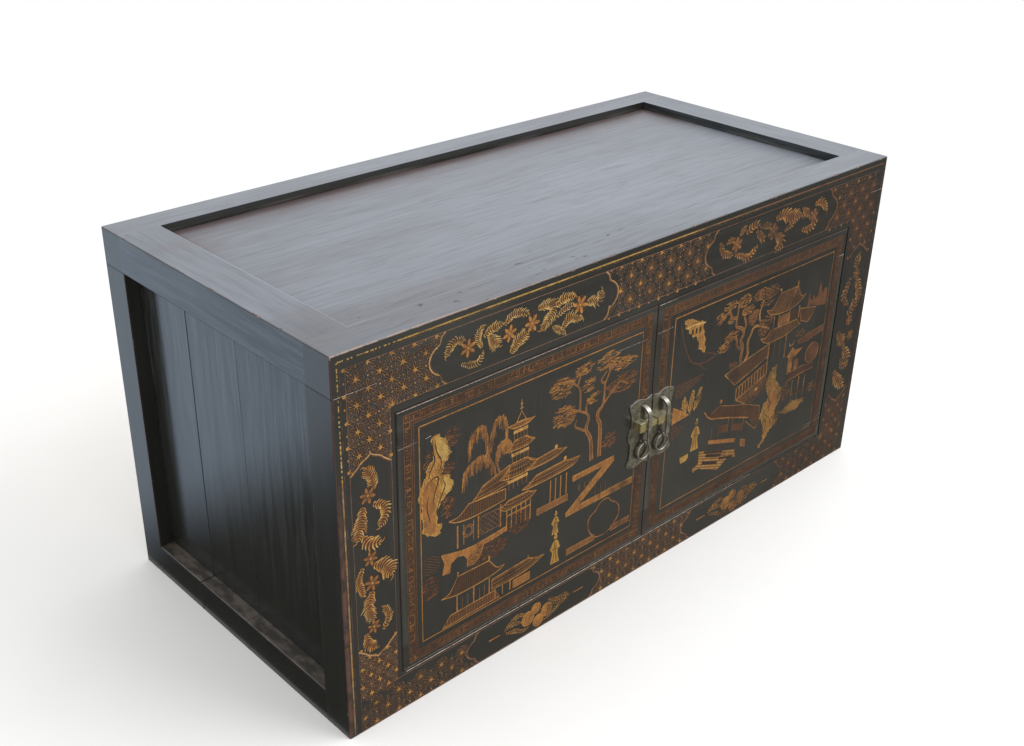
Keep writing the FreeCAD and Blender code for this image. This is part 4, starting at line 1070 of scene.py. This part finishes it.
def willow(work, trunks, arches, tone=0.42):
    """Hanging willow: bare limbs, and arched ones from which strokes hang."""
    steps, hanging, longest = 60, 3, 130
    limbs(work, trunks, 2.6, tone)
    for arch in arches:
        line = np.repeat(evenly(smooth(arch), steps), hanging, 0)
        line = line + chance.normal(0, 7, line.shape)
        drop = chance.uniform(0.15, 1.25, len(line)) * longest
        ends = line + np.column_stack((chance.normal(0, 9, len(line)), drop))
        shade = np.clip(chance.normal(tone, 0.16, len(line)), 0, 0.85)
        work.dashes(line, ends, 0.9, 0.6, shade, shade - 0.12)


def ragged(outline, rough=9.0):
    """An outline broken up: even steps along it, each moved by chance."""
    closed = np.vstack((outline, outline[:1]))
    steps = evenly(closed, 4 * len(outline))[:-1]
    return steps + chance.normal(0, rough, steps.shape)


def crag(work, outline, tone, gap=26.0):
    """A rock: a ragged ground, hatching of three gilt tones across it, and pale bits of
    its edge."""
    edge = ragged(outline)
    work.fill(edge, tone)
    for angle, shade, width in ((78, MUSTARD, 1.4), (60, 0.40, 0.9), (95, 0.75, 1.2)):
        work.hatch(edge, angle, gap * chance.uniform(0.9, 1.6), width, shade)
    kept = chance.uniform(0, 1, len(edge)) > 0.45
    work.dashes(edge[kept], np.roll(edge, -1, 0)[kept], 1.5, 1.0, chance.uniform(1.2, 1.45, kept.sum()))


def clefts(work, paths, width, tone, thin, lift=OVER_LIFT):
    """Dark curved strokes over a rock, thin at both ends."""
    for path in paths:
        work.stroke(path, width, tone, curve=True, ends=(thin, thin), lift=lift)


def left_door_scene(work):
    """Landscape with a tower, a hall among trees, a winding bridge and a pavilion."""
    # upper left: rock, willow, tower and the hall's roofs
    work.sheet(170, 190, 5)
    rock = ((195, 205), (255, 170), (320, 250), (360, 280), (390, 370), (425, 430), (330, 500), (310, 560),
            (330, 620), (400, 640), (440, 760), (410, 810), (300, 870), (250, 960), (240, 1080), (290, 1130),
            (275, 1240), (90, 1170), (50, 700), (110, 600), (150, 480), (200, 440))
    crag(work, rock, 0.55)
    for patch, tone in ((((260, 200), (315, 265), (350, 290), (380, 375), (405, 430), (330, 480), (300, 470),
                          (255, 360), (235, 250)), 1.34),
                        (((330, 640), (395, 655), (430, 750), (405, 800), (320, 840), (300, 740)), 1.32),
                        (((75, 720), (130, 640), (200, 640), (230, 800), (200, 960), (220, 1080), (250, 1200),
                          (105, 1150)), 0.42)):
        work.fill(ragged(patch), tone, lift=PATCH_LIFT)
    clefts(work, [((205, 225), (205, 330), (225, 440), (180, 520), (150, 600))], 1.9, DEEP, 0.5)
    clefts(work, [((120, 690), (150, 640), (230, 610), (265, 650), (215, 800), (210, 930)),
                  ((230, 240), (250, 360), (300, 470), (280, 560)),
                  ((310, 660), (340, 740), (290, 850), (230, 1000)), ((150, 780), (130, 900), (170, 1080))],
           1.7, DEEP, 0.4)
    flecks(work, ((350, 170, 500, 380), (110, 310, 180, 560), (300, 520, 450, 640),
                  (300, 870, 450, 1110)), 0.1)
    willow(work, [((950, 890), (920, 760), (860, 650), (880, 560), (890, 460)),
                  ((1000, 880), (960, 740), (965, 660))],
           [((620, 470), (640, 370), (740, 290), (820, 340), (842, 520)),
            ((885, 520), (910, 380), (960, 285), (1040, 290), (1085, 420), (1080, 520)),
            ((550, 770), (590, 680), (740, 605), (850, 640), (905, 740)),
            ((960, 660), (1000, 570), (1090, 560), (1140, 620))])
    work.stroke(((1265, 205), (1265, 330)), 1.5, GOLD)
    for spread, level in ((14, 250), (24, 292)):
        work.stroke(((1265 - spread, level), (1265 + spread, level)), 1.6, GOLD)
    work.stroke(((1205, 428), (1265, 322), (1325, 428)), 2.0, 0.66, closed=True)
    for ridge, eave, wall in ((((1215, 430), (1315, 430)),
                               ((1095, 435), (1180, 480), (1350, 480), (1440, 445)), (1180, 1340, 490, 610)),
                              (((1190, 610), (1335, 610)),
                               ((1070, 700), (1200, 715), (1350, 715), (1450, 680)), (1160, 1360, 730, 850)),
                              (((1150, 850), (1350, 850)),
                               ((1000, 970), (1130, 1000), (1370, 1000), (1490, 930)),
                               (1120, 1350, 1010, 1130))):
        roof(work, ridge, eave, 9, 0.42)
        columns(work, np.linspace(wall[0], wall[1], 5), wall[2], wall[3], 1.5, 0.2)
        work.fill(rectangle(wall[0] - 12, wall[2] + 14, wall[1] + 12, wall[2] + 48), 0.78, lift=OVER_LIFT)
    roof(work, ((790, 940), (1130, 850)), ((670, 1050), (690, 1065), (900, 1065), (1100, 1050)), 12)
    roof(work, ((620, 1060), (1080, 1090)),
         ((380, 1150), (480, 1200), (690, 1225), (1080, 1210)), 16, 0.2, 0.12)
    # upper right: two old trees over the hall
    work.sheet(440, 190, 5)
    limbs(work, [((900, 1250), (870, 1000), (800, 860), (830, 740), (790, 670)),
                 ((1010, 1250), (1000, 900), (960, 800), (960, 720), (1030, 650), (1040, 430))], 6.0)
    limbs(work, [((790, 670), (700, 620), (590, 560), (530, 490)),
                 ((790, 670), (790, 580), (870, 520), (960, 480)),
                 ((800, 880), (680, 800), (640, 760), (660, 700)),
                 ((700, 610), (690, 400), (640, 320), (520, 240), (400, 290)),
                 ((650, 320), (690, 220), (740, 160)), ((1040, 650), (1180, 540), (1270, 490), (1380, 550)),
                 ((1040, 440), (1100, 300), (1060, 200)), ((1100, 290), (1250, 280), (1380, 320)),
                 ((1040, 430), (980, 380), (1060, 300))], 2.8)
    flecks(work, ((290, 160, 600, 390), (620, 100, 860, 240), (900, 90, 1230, 280), (720, 300, 900, 450),
                  (340, 480, 650, 730), (800, 480, 960, 600), (1120, 220, 1500, 350)), 0.46, 40)
    flecks(work, ((1080, 400, 1510, 620), (1060, 1020, 1250, 1220)), 0.16, 36)
    roof(work, ((130, 930), (390, 910)), ((-20, 1000), (100, 1015), (380, 1005), (540, 955)), 12)
    roof(work, ((130, 1110), (510, 1095)), ((-60, 1200), (90, 1218), (600, 1202), (730, 1125)), 18)
    for spot in ((390, 890), (520, 1070)):
        disc(work, spot, 22, GOLD)
    # lower left: the hall's front, the shore and the low pavilion
    work.sheet(170, 420, 5)
    columns(work, (485, 740, 1020), 90, 340, 2.4)
    columns(work, (560, 680), 110, 330, 1.2)
    for radius in (65, 45):
        ring(work, (615, 200), radius, 1.6, 0.32)
    lattice = rectangle(770, 120, 1010, 320)
    for angle in (45, -45):
        work.hatch(lattice, angle, 42, 0.9, 0.15)
    work.stroke(lattice, 1.2, 0.3, closed=True)
    roof(work, ((1120, 90), (1380, 90)),
         ((1000, 130), (1080, 190), (1250, 195), (1400, 180), (1490, 130)), 10)
    columns(work, np.linspace(1100, 1410, 6), 200, 420)
    work.stroke(((1090, 260), (1420, 260)), 2.4, ORANGE)
    shore = ((290, 330), (370, 350), (540, 390), (700, 400), (900, 385), (1090, 370), (1100, 420), (900, 440),
             (810, 440), (760, 560), (700, 610), (600, 600), (610, 520), (560, 450), (480, 430), (400, 470),
             (390, 570), (300, 555), (330, 440))
    work.panel(shore, 0.44, rim=(1.2, 0.6))
    strata = ((80, 270), (200, 280), (280, 330), (270, 440), (200, 480), (80, 470))
    work.hatch(strata, 30, 26, 0.9, 0.05)
    flecks(work, ((600, 430, 1120, 660), (1130, 260, 1420, 520), (60, 500, 260, 760)), -0.02, 26)
    roof(work, ((485, 658), (879, 665)),
         ((283, 829), (456, 863), (648, 869), (840, 863), (1013, 838), (1081, 804)), 18, 0.05, 0.16)
    for x in (485, 879):
        work.stroke(((x, 605), (x, 662)), 2.2, 0.7)
    columns(work, (475, 685, 885), 870, 1060, 2.0)
    columns(work, (540, 610, 760, 820), 920, 1050, 1.0, BROWN)
    work.panel(((390, 1065), (960, 1055), (1020, 1160), (290, 1170)), -0.1, (90, 34, 0.9, 0.34), (1.4, 0.6))
    roof(work, ((920, 910), (1400, 885)), ((920, 1030), (1160, 1032), (1400, 1015), (1625, 945)), 16, 0.2)
    work.stroke(((1400, 845), (1400, 890)), 1.8, 0.6)
    work.panel(rectangle(1200, 1060, 1430, 1150), 0.38, rim=(1.3, 0.55))
    columns(work, (960, 1060, 1160), 1040, 1150)
    # lower right: the terrace, the winding bridge, two robed shapes and a lobed window
    work.sheet(440, 420, 5)
    columns(work, (330, 400, 470, 550), 100, 350, 2.0)
    work.panel(rectangle(150, 360, 580, 430), 0.26, rim=(1.2, 0.5))
    planks = ((640, 185), (1240, 185), (1240, 245), (1225, 250), (745, 562), (1550, 560), (1550, 630),
              (560, 630), (560, 590), (1080, 245), (640, 245))
    work.panel(planks, 0.42, rim=(1.3, 0.66))
    columns(work, (740, 820, 890), 320, 400, 1.6, 0.2)
    columns(work, (980, 1060, 1130), 440, 540, 1.6, 0.15)
    for head, hem in (((420, 530), 770), ((430, 810), 1130)):
        robed(work, head, hem)
    lobes = ((920, 800), (1020, 740), (1060, 690), (1130, 665), (1200, 680), (1240, 730), (1330, 790),
             (1372, 880), (1356, 970), (1300, 1030), (1255, 1075), (1140, 1105), (1020, 1085), (972, 1040),
             (925, 975), (900, 880))
    work.stroke(lobes, 2.0, 0.42, curve=True, closed=True)
    for left, right in ((590, 1010), (1250, 1540)):
        work.fill(rectangle(left, 1045, right, 1112), 0.26)
        for level in (1045, 1112):
            work.stroke(((left, level), (right, level)), 1.3, 0.45)
    work.sheet()


def right_door_scene(work):
    """Landscape with a cliff tower, a tree, a two-storey pavilion, a gallery and rocks."""
    # upper left: the cliff tower, far hills, strata and the bent tree
    work.sheet(845, 195, 5)
    cliff = ((180, 80), (320, 115), (420, 165), (530, 215), (490, 240), (520, 290), (545, 440), (565, 565),
             (525, 560), (455, 490), (435, 400), (400, 330), (330, 305), (280, 260), (235, 200))
    crag(work, cliff, 0.42, 22)
    work.stroke(((230, 200), (340, 190), (530, 215)), 1.8, PALE)
    work.dashes(((330, 240), (390, 240), (450, 240)), ((330, 292), (390, 300), (450, 310)), 3.6, 3.6, DEEP,
                lift=OVER_LIFT)
    tendril(work, ((130, 130), (200, 350), (290, 530), (350, 620), (480, 690), (560, 760),
                   (680, 830)), 0.05, 1.6)
    tendril(work, ((480, 690), (620, 700), (760, 670), (700, 630), (560, 580)), 0.08, 1.6)
    work.hatch(((130, 830), (560, 830), (600, 850), (480, 910), (250, 990), (130, 990)), 32, 22, 1.2, 0.08)
    for foot, tip in (((320, 1250), (290, 1010)), ((400, 1265), (440, 980)), ((480, 1250), (570, 1000))):
        foot, tip = np.array(foot), np.array(tip)
        middle = 0.5 * (foot + tip)
        crag(work, smooth((foot, middle - (40, 0), tip, middle + (40, 0)), 3, True), 0.3, 20)
    work.fill(((110, 1080), (290, 1190), (400, 1275), (110, 1295)), 0.55)
    limbs(work, [((1245, 960), (1230, 860), (1240, 740), (1220, 690), (1190, 640), (1230, 580), (1220, 520),
                  (1170, 480), (1090, 440), (1080, 360), (1090, 260), (1080, 190))], 5.6)
    limbs(work, [((1080, 330), (1000, 310), (940, 230), (860, 240), (790, 240)),
                 ((1200, 740), (1130, 680), (1120, 610), (1060, 560), (990, 570), (960, 620)),
                 ((1230, 520), (1260, 480), (1230, 390), (1190, 330))], 4.0)
    limbs(work, [((1310, 930), (1350, 850), (1330, 700), (1370, 620), (1400, 560), (1450, 545), (1510, 560),
                  (1600, 600), (1720, 655))], 4.4, 0.68)
    flecks(work, ((720, 200, 880, 330), (840, 105, 1060, 210), (1080, 95, 1300, 230), (1170, 240, 1370, 345),
                  (930, 300, 1050, 370), (810, 580, 995, 685), (900, 470, 1130, 600)), 0.52, 34, True)
    flecks(work, ((1290, 350, 1460, 510), (1030, 870, 1180, 950), (1350, 100, 1500, 240)), 0.2, 34)
    ridge, eave = ((970, 990), (1440, 905), (1755, 855)), ((1170, 1180), (1500, 1090), (1755, 1010))
    work.fill(ridge + eave[::-1], -0.22)
    work.ruled(ridge, eave, 26, 1.0, 0.2)
    for line, width, tone in ((ridge, 1.5, MUSTARD), (eave, 1.5, 0.6), ((ridge[0], eave[0]), 1.6, GOLD)):
        work.stroke(line, width, tone)
    # upper right: the two-storey pavilion, red trees and the terrace wall
    work.sheet(1120, 195, 5)
    flecks(work, ((0, 105, 250, 240), (120, 250, 340, 345), (0, 340, 100, 420), (140, 480, 380, 600)),
           0.36, rimmed=True)
    flecks(work, ((200, 115, 440, 260), (-80, 330, 90, 520), (120, 560, 330, 720),
                  (880, 860, 1060, 960)), 0.24)
    limbs(work, [((140, 500), (120, 400), (160, 300), (180, 260))], 2.6, 0.75)
    roof(work, ((479, 266), (810, 272)),
         ((251, 410), (318, 476), (450, 513), (641, 527), (818, 505), (935, 454), (987, 412)), 16, 0.4, 0.22)
    work.stroke(((795, 285), (730, 390), (650, 512)), 1.4, 0.62, curve=True)
    work.stroke(((806, 204), (808, 272)), 2.4, 0.7)
    disc(work, (479, 224), 18, 0.95)
    columns(work, (413, 501, 707, 891), 535, 684, 2.2, 0.6)
    work.fill(rectangle(501, 556, 700, 684), 0.4)
    columns(work, (545, 590, 645), 556, 684, 1.2, -0.15)
    work.fill(rectangle(718, 566, 870, 690), -0.2)
    roof(work, ((376, 690), (620, 696), (876, 699)),
         ((185, 738), (259, 801), (362, 844), (524, 846), (685, 838), (862, 794), (950, 779)), 18, 0.32, 0.16)
    side_roof = ((891, 574), (1222, 647), (1150, 760), (1090, 801), (950, 743))
    work.panel(side_roof, DEEP, (72, 26, 0.9, 0.3))
    work.stroke(side_roof[:4], 1.8, 0.6)
    work.stroke((side_roof[0], side_roof[4], side_roof[3]), 1.5, 0.5)
    columns(work, (375, 700), 850, 1140, 2.4)
    columns(work, (480, 590), 860, 1120, 1.2, BROWN)
    spires = ((1040, 600), (1062, 420), (1095, 520), (1130, 540), (1158, 470), (1190, 540), (1240, 520),
              (1258, 400), (1275, 345), (1300, 440), (1330, 510), (1362, 460), (1390, 440), (1425, 490),
              (1428, 670), (1330, 660), (1240, 640), (1150, 600))
    work.panel(spires, 0.06, (84, 24, 1.2, 0.32))
    wall = ((940, 1000), (1150, 960), (1450, 940), (1460, 1010), (1150, 1060), (980, 1050))
    work.panel(wall, 0.06, (-6, 24, 0.8, 0.2), (1.2, 0.3))
    tendril(work, ((770, 970), (800, 1020), (860, 1010), (880, 950)), GOLD, 1.8)
    work.fill(((760, 1150), (860, 1060), (930, 1110), (1080, 1120), (950, 1190), (850, 1225)), 0.5)
    # lower left: robed shape, boat, low pavilion and railed steps
    work.sheet(845, 420, 5)
    robed(work, (545, 300), 650)
    work.fill(((300, 655), (440, 650), (450, 700), (410, 735), (320, 735)), 1.3)
    work.hatch(((110, 170), (300, 240), (260, 320), (150, 370), (110, 360)), 30, 24, 1.1, 0.06)
    low = ((665, 215), (740, 310), (800, 350), (1120, 450), (1500, 590), (1655, 700), (1665, 800),
           (1725, 710), (1705, 510), (1400, 380), (1090, 290), (930, 230), (860, 262), (790, 285))
    work.fill(low, DEEP)
    work.ruled(((790, 285), (930, 230), (1400, 380)), ((740, 310), (800, 350), (1280, 510)), 26, 1.0, 0.1)
    work.ruled(((1400, 380), (1705, 510)), ((1280, 510), (1500, 590), (1665, 790)), 16, 1.2, 0.2)
    for line, width, tone in (
            (((665, 215), (740, 310), (800, 350), (1120, 450), (1500, 590)), 2.4, ORANGE),
            (((1450, 620), (1665, 800)), 1.8, 0.4),
            (((790, 285), (860, 262), (930, 230), (1090, 290), (1400, 380)), 1.3, 0.4),
            (((1400, 380), (1705, 510), (1725, 710), (1665, 800)), 1.2, 0.6)):
        work.stroke(line, width, tone)
    disc(work, (950, 185), 26, ORANGE)
    columns(work, (830, 960, 1130, 1210, 1420), 470, 640, 1.3, BROWN)
    for pane in (((960, 490), (1130, 540), (1130, 640), (960, 590)),
                 ((1210, 570), (1420, 630), (1420, 725), (1210, 660))):
        work.panel(pane, -0.1, (90, 40, 1.0, 0.25))
    work.fill(((790, 620), (1300, 785), (1290, 835), (790, 670)), 0.45)
    steps = ((640, 705), (720, 735), (1100, 870), (1315, 940), (1330, 1045), (1180, 1000), (1000, 1095),
             (930, 1055), (650, 930), (560, 945), (540, 900), (640, 860))
    work.panel(steps, 0.3, (20, 34, 1.7, 1.3))
    for hollow in (((770, 790), (1060, 895), (1040, 930), (760, 830)),
                   ((730, 740), (1080, 865), (1070, 885), (720, 765)),
                   ((1030, 930), (1290, 1010), (1270, 1030), (1010, 960)),
                   ((720, 865), (1000, 970), (980, 1005), (710, 905))):
        work.fill(hollow, DEEP, lift=OVER_LIFT)
    work.panel(((1400, 840), (1490, 880), (1500, 970), (1410, 930)), 0.3, rim=(1.4, 0.62))
    # the gallery's slatted front
    head, foot = ((1210, 115), (1500, 35), (1755, -40)), ((1222, 265), (1500, 195), (1755, 115))
    work.fill(head + foot[::-1], DEEP)
    work.ruled(head, foot, 11, 2.0, 0.6)
    for line in (head, foot):
        work.stroke(line, 1.9, ORANGE)
    rail = foot + ((1800, 250), (1640, 320), (1400, 375))
    work.hatch(rail, -16, 30, 1.3, 0.42)
    work.hatch(rail, 62, 70, 0.9, 0.2)
    work.stroke(((1222, 265), (1400, 375)), 1.6, 0.45)
    disc(work, (1592, 255), 24, 0.8, 7)
    # lower right: the standing rock, the table, the urn and the roundel
    work.sheet(1120, 420, 5)
    for drop in (0, 40, 80):
        work.stroke(((40, 350 + drop), (400, 245 + drop)), 0.9, BROWN)
    stone = ((540, 50), (590, 70), (580, 160), (600, 290), (740, 430), (720, 570), (650, 660), (620, 700),
             (690, 760), (740, 830), (650, 900), (590, 920), (550, 1000), (510, 1030), (430, 1110),
             (400, 1090), (470, 1010), (470, 920), (430, 800), (370, 680), (400, 530), (470, 510), (480, 440),
             (440, 360), (400, 260), (440, 140))
    crag(work, stone, 0.5)
    work.fill(((490, 380), (600, 420), (680, 520), (620, 690), (530, 570)), 0.48, lift=OVER_LIFT)
    for patch in (((548, 80), (582, 100), (572, 185), (520, 250), (450, 240), (465, 150)),
                  ((385, 680), (470, 560), (515, 620), (500, 750), (440, 780)),
                  ((610, 330), (715, 440), (700, 540), (660, 470))):
        work.fill(ragged(patch), 1.28, lift=PATCH_LIFT + UNDER_LIFT)
    clefts(work, [((440, 140), (520, 230), (590, 290), (480, 440), (540, 570), (430, 640), (560, 760),
                   (600, 900)), ((500, 100), (480, 260), (530, 330)), ((600, 330), (700, 480), (640, 640)),
                  ((420, 700), (500, 800), (480, 940))], 1.6, -0.15, 0.5, EYE_LIFT)
    flecks(work, ((740, 380, 900, 620), (600, 700, 760, 900)), 0.2)
    work.fill(((780, 255), (1100, 250), (1340, 285), (1340, 350), (1080, 350), (800, 370)), -0.15)
    work.stroke(((780, 258), (1100, 250), (1340, 290)), 1.8, 0.4)
    work.stroke(((800, 370), (1080, 350), (1340, 350)), 1.8, ORANGE)
    columns(work, (945, 1195), 390, 690, 2.6, 0.4)
    columns(work, (1075,), 380, 710, 2.8)
    work.stroke(((930, 590), (1150, 595)), 1.6, ORANGE)
    work.fill(rectangle(800, 60, 890, 250), 0.48)
    work.fill(((930, 130), (1000, 115), (1020, 180), (990, 245), (940, 245), (920, 180)), 0.42, curve=True)
    crag(work, ((690, 750), (860, 800), (1090, 835), (1270, 745), (1180, 700), (1080, 720), (980, 680),
                (860, 720)), 0.4, 22)
    flecks(work, ((1290, 540, 1420, 680),), 0.35, 24)
    roundel, radius = (1275, 130), 128
    disc(work, roundel, radius, 0.04, 28, GROUND_LIFT)
    ring(work, roundel, radius, 2.2, 0.42)
    work.sheet()


# The outer and the inner bounds of each door's fret, and its gold line.
DOOR_LINES = {
    "left": ((148, 165, 780, 692), (169, 186, 759, 671), (181, 198, 753, 658)),
    "right": ((813, 167, 1443, 692), (834, 188, 1422, 671), (852, 200, 1412, 659)),
}

# Pale cracks along the joints: points across and down with the width there.
CRACKS = {
    "left_door": (
        ((134, 226, 0.7), (176, 225, 0.5)), ((195, 226, 1.1), (208, 225, 1.1)),
        ((640, 217, 0.5), (770, 219, 0.6)),
        ((134, 155, 1.0), (300, 155, 1.0), (500, 155, 0.5), (640, 155, 0.2)),
        ((136, 700, 0.6), (790, 700, 0.5))),
    "right_door": (
        ((800, 217, 0.7), (846, 216, 0.4)), ((1434, 218, 0.7), (1454, 217, 1.3)),
        ((1385, 652, 0.3), (1454, 651, 0.6)), ((799, 155, 1.2), (850, 155, 0.5)),
        ((1436, 640, 0.5), (1454, 639, 0.8)), ((800, 700, 0.4), (1160, 700, 0.3))),
    "carcass": (
        ((10, 84, 0.9), (98, 84, 0.5)), ((1530, 85, 0.5), (1580, 85, 0.9)),
        ((140, 706, 1.9), (420, 706, 2.2), (790, 706, 1.7), (1180, 706, 0.5))),
}


def front_work():
    """All raised work of the front, riding on what it is laid on."""
    pattern_gilding, gilding = worn_gilding("pattern_gilding", 0.62, 0.6), worn_gilding("worn_gilding", 0.36)
    chipped = chipped_edge()
    pattern = RaisedWork()
    diaper(pattern)
    frame_lines(pattern)
    pattern.make("frame_pattern", "carcass", pattern_gilding)
    sprays = RaisedWork()
    frame_sprays(sprays)
    sprays.make("frame_sprays", "carcass", gilding)
    for hand, scene in (("left", left_door_scene), ("right", right_door_scene)):
        outer, inner, line = DOOR_LINES[hand]
        work = RaisedWork()
        key_fret(work, outer, inner)
        work.stroke(rectangle(*line), 1.8, 0.52, closed=True)
        scene(work)
        work.make(f"{hand}_door_scene", f"{hand}_door", gilding)
    for body, paths in CRACKS.items():
        work = RaisedWork()
        for path in map(np.array, paths):
            widest = path[:, 2].max()
            work.stroke(path[:, :2], 0.62 * widest, PALE, ends=(path[0, 2] / widest, path[-1, 2] / widest))
        work.make(f"{body}_cracks", body, chipped)


# ---------------------------------------------------------------- stage, light, camera

CABINET_MIDDLE = ((CAD_BOX[0][0] + CAD_BOX[1][0]) / 2, (CAD_BOX[0][1] + CAD_BOX[1][1]) / 2)
CAMERA = dict(lens=43.94, azimuth=-43.59, elevation=27.40, distance=1.8251,
              target=(-0.0606, -0.0252, 0.2604), roll=1.12)
KEY_PLACE, KEY_AIM = (1.3, -2.1, 2.6), (0.0, 0.0, 0.25)
FLOOR_REACH, FLOOR_LEVEL = 14, -0.4 * MM
CARD_REACH, CARD_LEVEL = 6.0, 0.6 * MM
SEAM_LIFT = 0.05 * MM


def background_rays(nodes):
    """1 for rays from the camera, in a gloss or through glass, and 0 for light."""
    path = nodes.node("LightPath").outputs
    seen = Value(nodes, path["Is Camera Ray"])
    return seen.most(Value(nodes, path["Is Glossy Ray"])).most(Value(nodes, path["Is Transmission Ray"]))


def flat_sheet(name, left, front, right, back, height, material, body=None):
    """A level sheet: both parameters run straight from edge to edge in eight steps."""
    steps = 8
    u, v = np.meshgrid(np.linspace(left, right, steps + 1), np.linspace(front, back, steps + 1))
    spots = np.column_stack((u.ravel(), v.ravel(), np.full(u.size, height)))
    i, j = np.meshgrid(np.arange(steps), np.arange(steps))
    first = (j * (steps + 1) + i).ravel()
    faces = np.column_stack((first, first + 1, first + steps + 2, first + steps + 1))
    return add_mesh(name, spots, faces.tolist(), material, body)


def top_seam_fill():
    """Lacquer that runs unbroken over the joint of the two top boards."""
    joint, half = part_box("top_front_board")[1][1], 1.2 * MM
    reach = HALF_WIDTH - END_RAIL + 2 * MM
    flat_sheet("top_seam_fill", -reach, joint - half, reach, joint + half, BOARD_TOP + SEAM_LIFT,
               bpy.data.materials["black_lacquer_x"], "carcass")


def look_at(eye, target, roll):
    """Matrix of a thing at eye that looks at target: right is forward crossed with up,
    then both turned about forward by the roll."""
    eye, target = np.array(eye, float), np.array(target, float)
    forward = (target - eye) / np.linalg.norm(target - eye)
    right = np.cross(forward, (0, 0, 1))
    right /= np.linalg.norm(right)
    up = np.cross(right, forward)
    c, s = math.cos(math.radians(roll)), math.sin(math.radians(roll))
    turned = np.eye(4)
    turned[:3] = np.column_stack((c * right + s * up, c * up - s * right, -forward, eye))
    return Matrix(turned.tolist())


def studio():
    """White floor and sky, a soft key from the right, and two cards that only gloss sees."""
    floor = Finish("studio_floor", Roughness=0.9, Specular_IOR_Level=0.0)
    floor.colour(floor.mix(floor.noise(9), tint(244, 244, 243), tint(247, 247, 246)))
    glow = floor.node("Emission", {}, {"Color": (1, 1, 1, 1), "Strength": 1.0}).outputs[0]
    away_x, away_y = floor.x - CABINET_MIDDLE[0], floor.y - CABINET_MIDDLE[1]
    away = (away_x * away_x + away_y * away_y).root()
    blend = floor.node("MixShader", {}, {0: away.rise(0.85, 1.9) * background_rays(floor),
                                         1: floor.surface.outputs[0], 2: glow})
    floor.feed(floor.tree.nodes["Material Output"].inputs["Surface"], blend.outputs[0])
    flat_sheet("floor", -FLOOR_REACH, -FLOOR_REACH, FLOOR_REACH, FLOOR_REACH, FLOOR_LEVEL, floor.material)

    dark = Finish("dark_card", Roughness=0.9, Emission_Strength=1.0)
    pale = dark.y.rise(0.20, 0.46)
    dark.colour(dark.mix(pale, tint(56, 54, 51), tint(222, 232, 240)))
    dark.feed(dark.surface.inputs["Emission Color"], dark.mix(pale, (0, 0, 0, 1), (0.04, 0.11, 0.24, 1.0)))
    grey = Finish("grey_card", Roughness=0.9)
    grey.colour(grey.mix(grey.x.rise(0.05, 1.0), tint(156, 147, 137), tint(92, 83, 75)))
    beside, before = LEFT - 4 * MM, FRONT - MM
    for card in (
            flat_sheet("side_card", -CARD_REACH, -5.0, beside, CARD_REACH, CARD_LEVEL, dark.material),
            flat_sheet("front_card", beside, -CARD_REACH, CARD_REACH, before, CARD_LEVEL, grey.material)):
        card.visible_camera = card.visible_diffuse = card.visible_shadow = False
        card.visible_transmission = card.visible_volume_scatter = False

    world = bpy.data.worlds.new("white_room")
    bpy.context.scene.world = world
    world.use_nodes = True
    room = Nodes(world.node_tree)
    sky = room.tree.nodes["Background"]
    room.feed(sky.inputs["Color"], (0.99, 0.99, 0.985, 1.0))
    room.feed(sky.inputs["Strength"], 1.07)
    white = room.node("Background", {}, {"Color": (1.0, 1.0, 1.0, 1.0)})
    blend = room.node("MixShader", {}, {0: background_rays(room), 1: sky.outputs[0], 2: white.outputs[0]})
    room.feed(room.tree.nodes["World Output"].inputs["Surface"], blend.outputs[0])

    key = bpy.data.lights.new("key_panel", "AREA")
    key.shape, key.size, key.size_y, key.energy = "RECTANGLE", 2.4, 1.8, 56.0
    add_object("key_panel", key).matrix_world = look_at(KEY_PLACE, KEY_AIM, 0.0)


def add_camera():
    """The camera on its sphere round the target, by azimuth and elevation."""
    azimuth, elevation = math.radians(CAMERA["azimuth"]), math.radians(CAMERA["elevation"])
    away = np.array((math.sin(azimuth) * math.cos(elevation), -math.cos(azimuth) * math.cos(elevation),
                     math.sin(elevation)))
    data = bpy.data.cameras.new("camera")
    data.sensor_fit, data.sensor_width, data.lens = "HORIZONTAL", 36.0, CAMERA["lens"]
    data.clip_start, data.clip_end = 0.05, 60.0
    camera = add_object("camera", data)
    eye = np.array(CAMERA["target"]) + CAMERA["distance"] * away
    camera.matrix_world = look_at(eye, CAMERA["target"], CAMERA["roll"])
    bpy.context.scene.camera = camera


bpy.context.scene.view_settings.view_transform = "Standard"
add_camera()
studio()
finish_nodes()
top_seam_fill()
front_work()
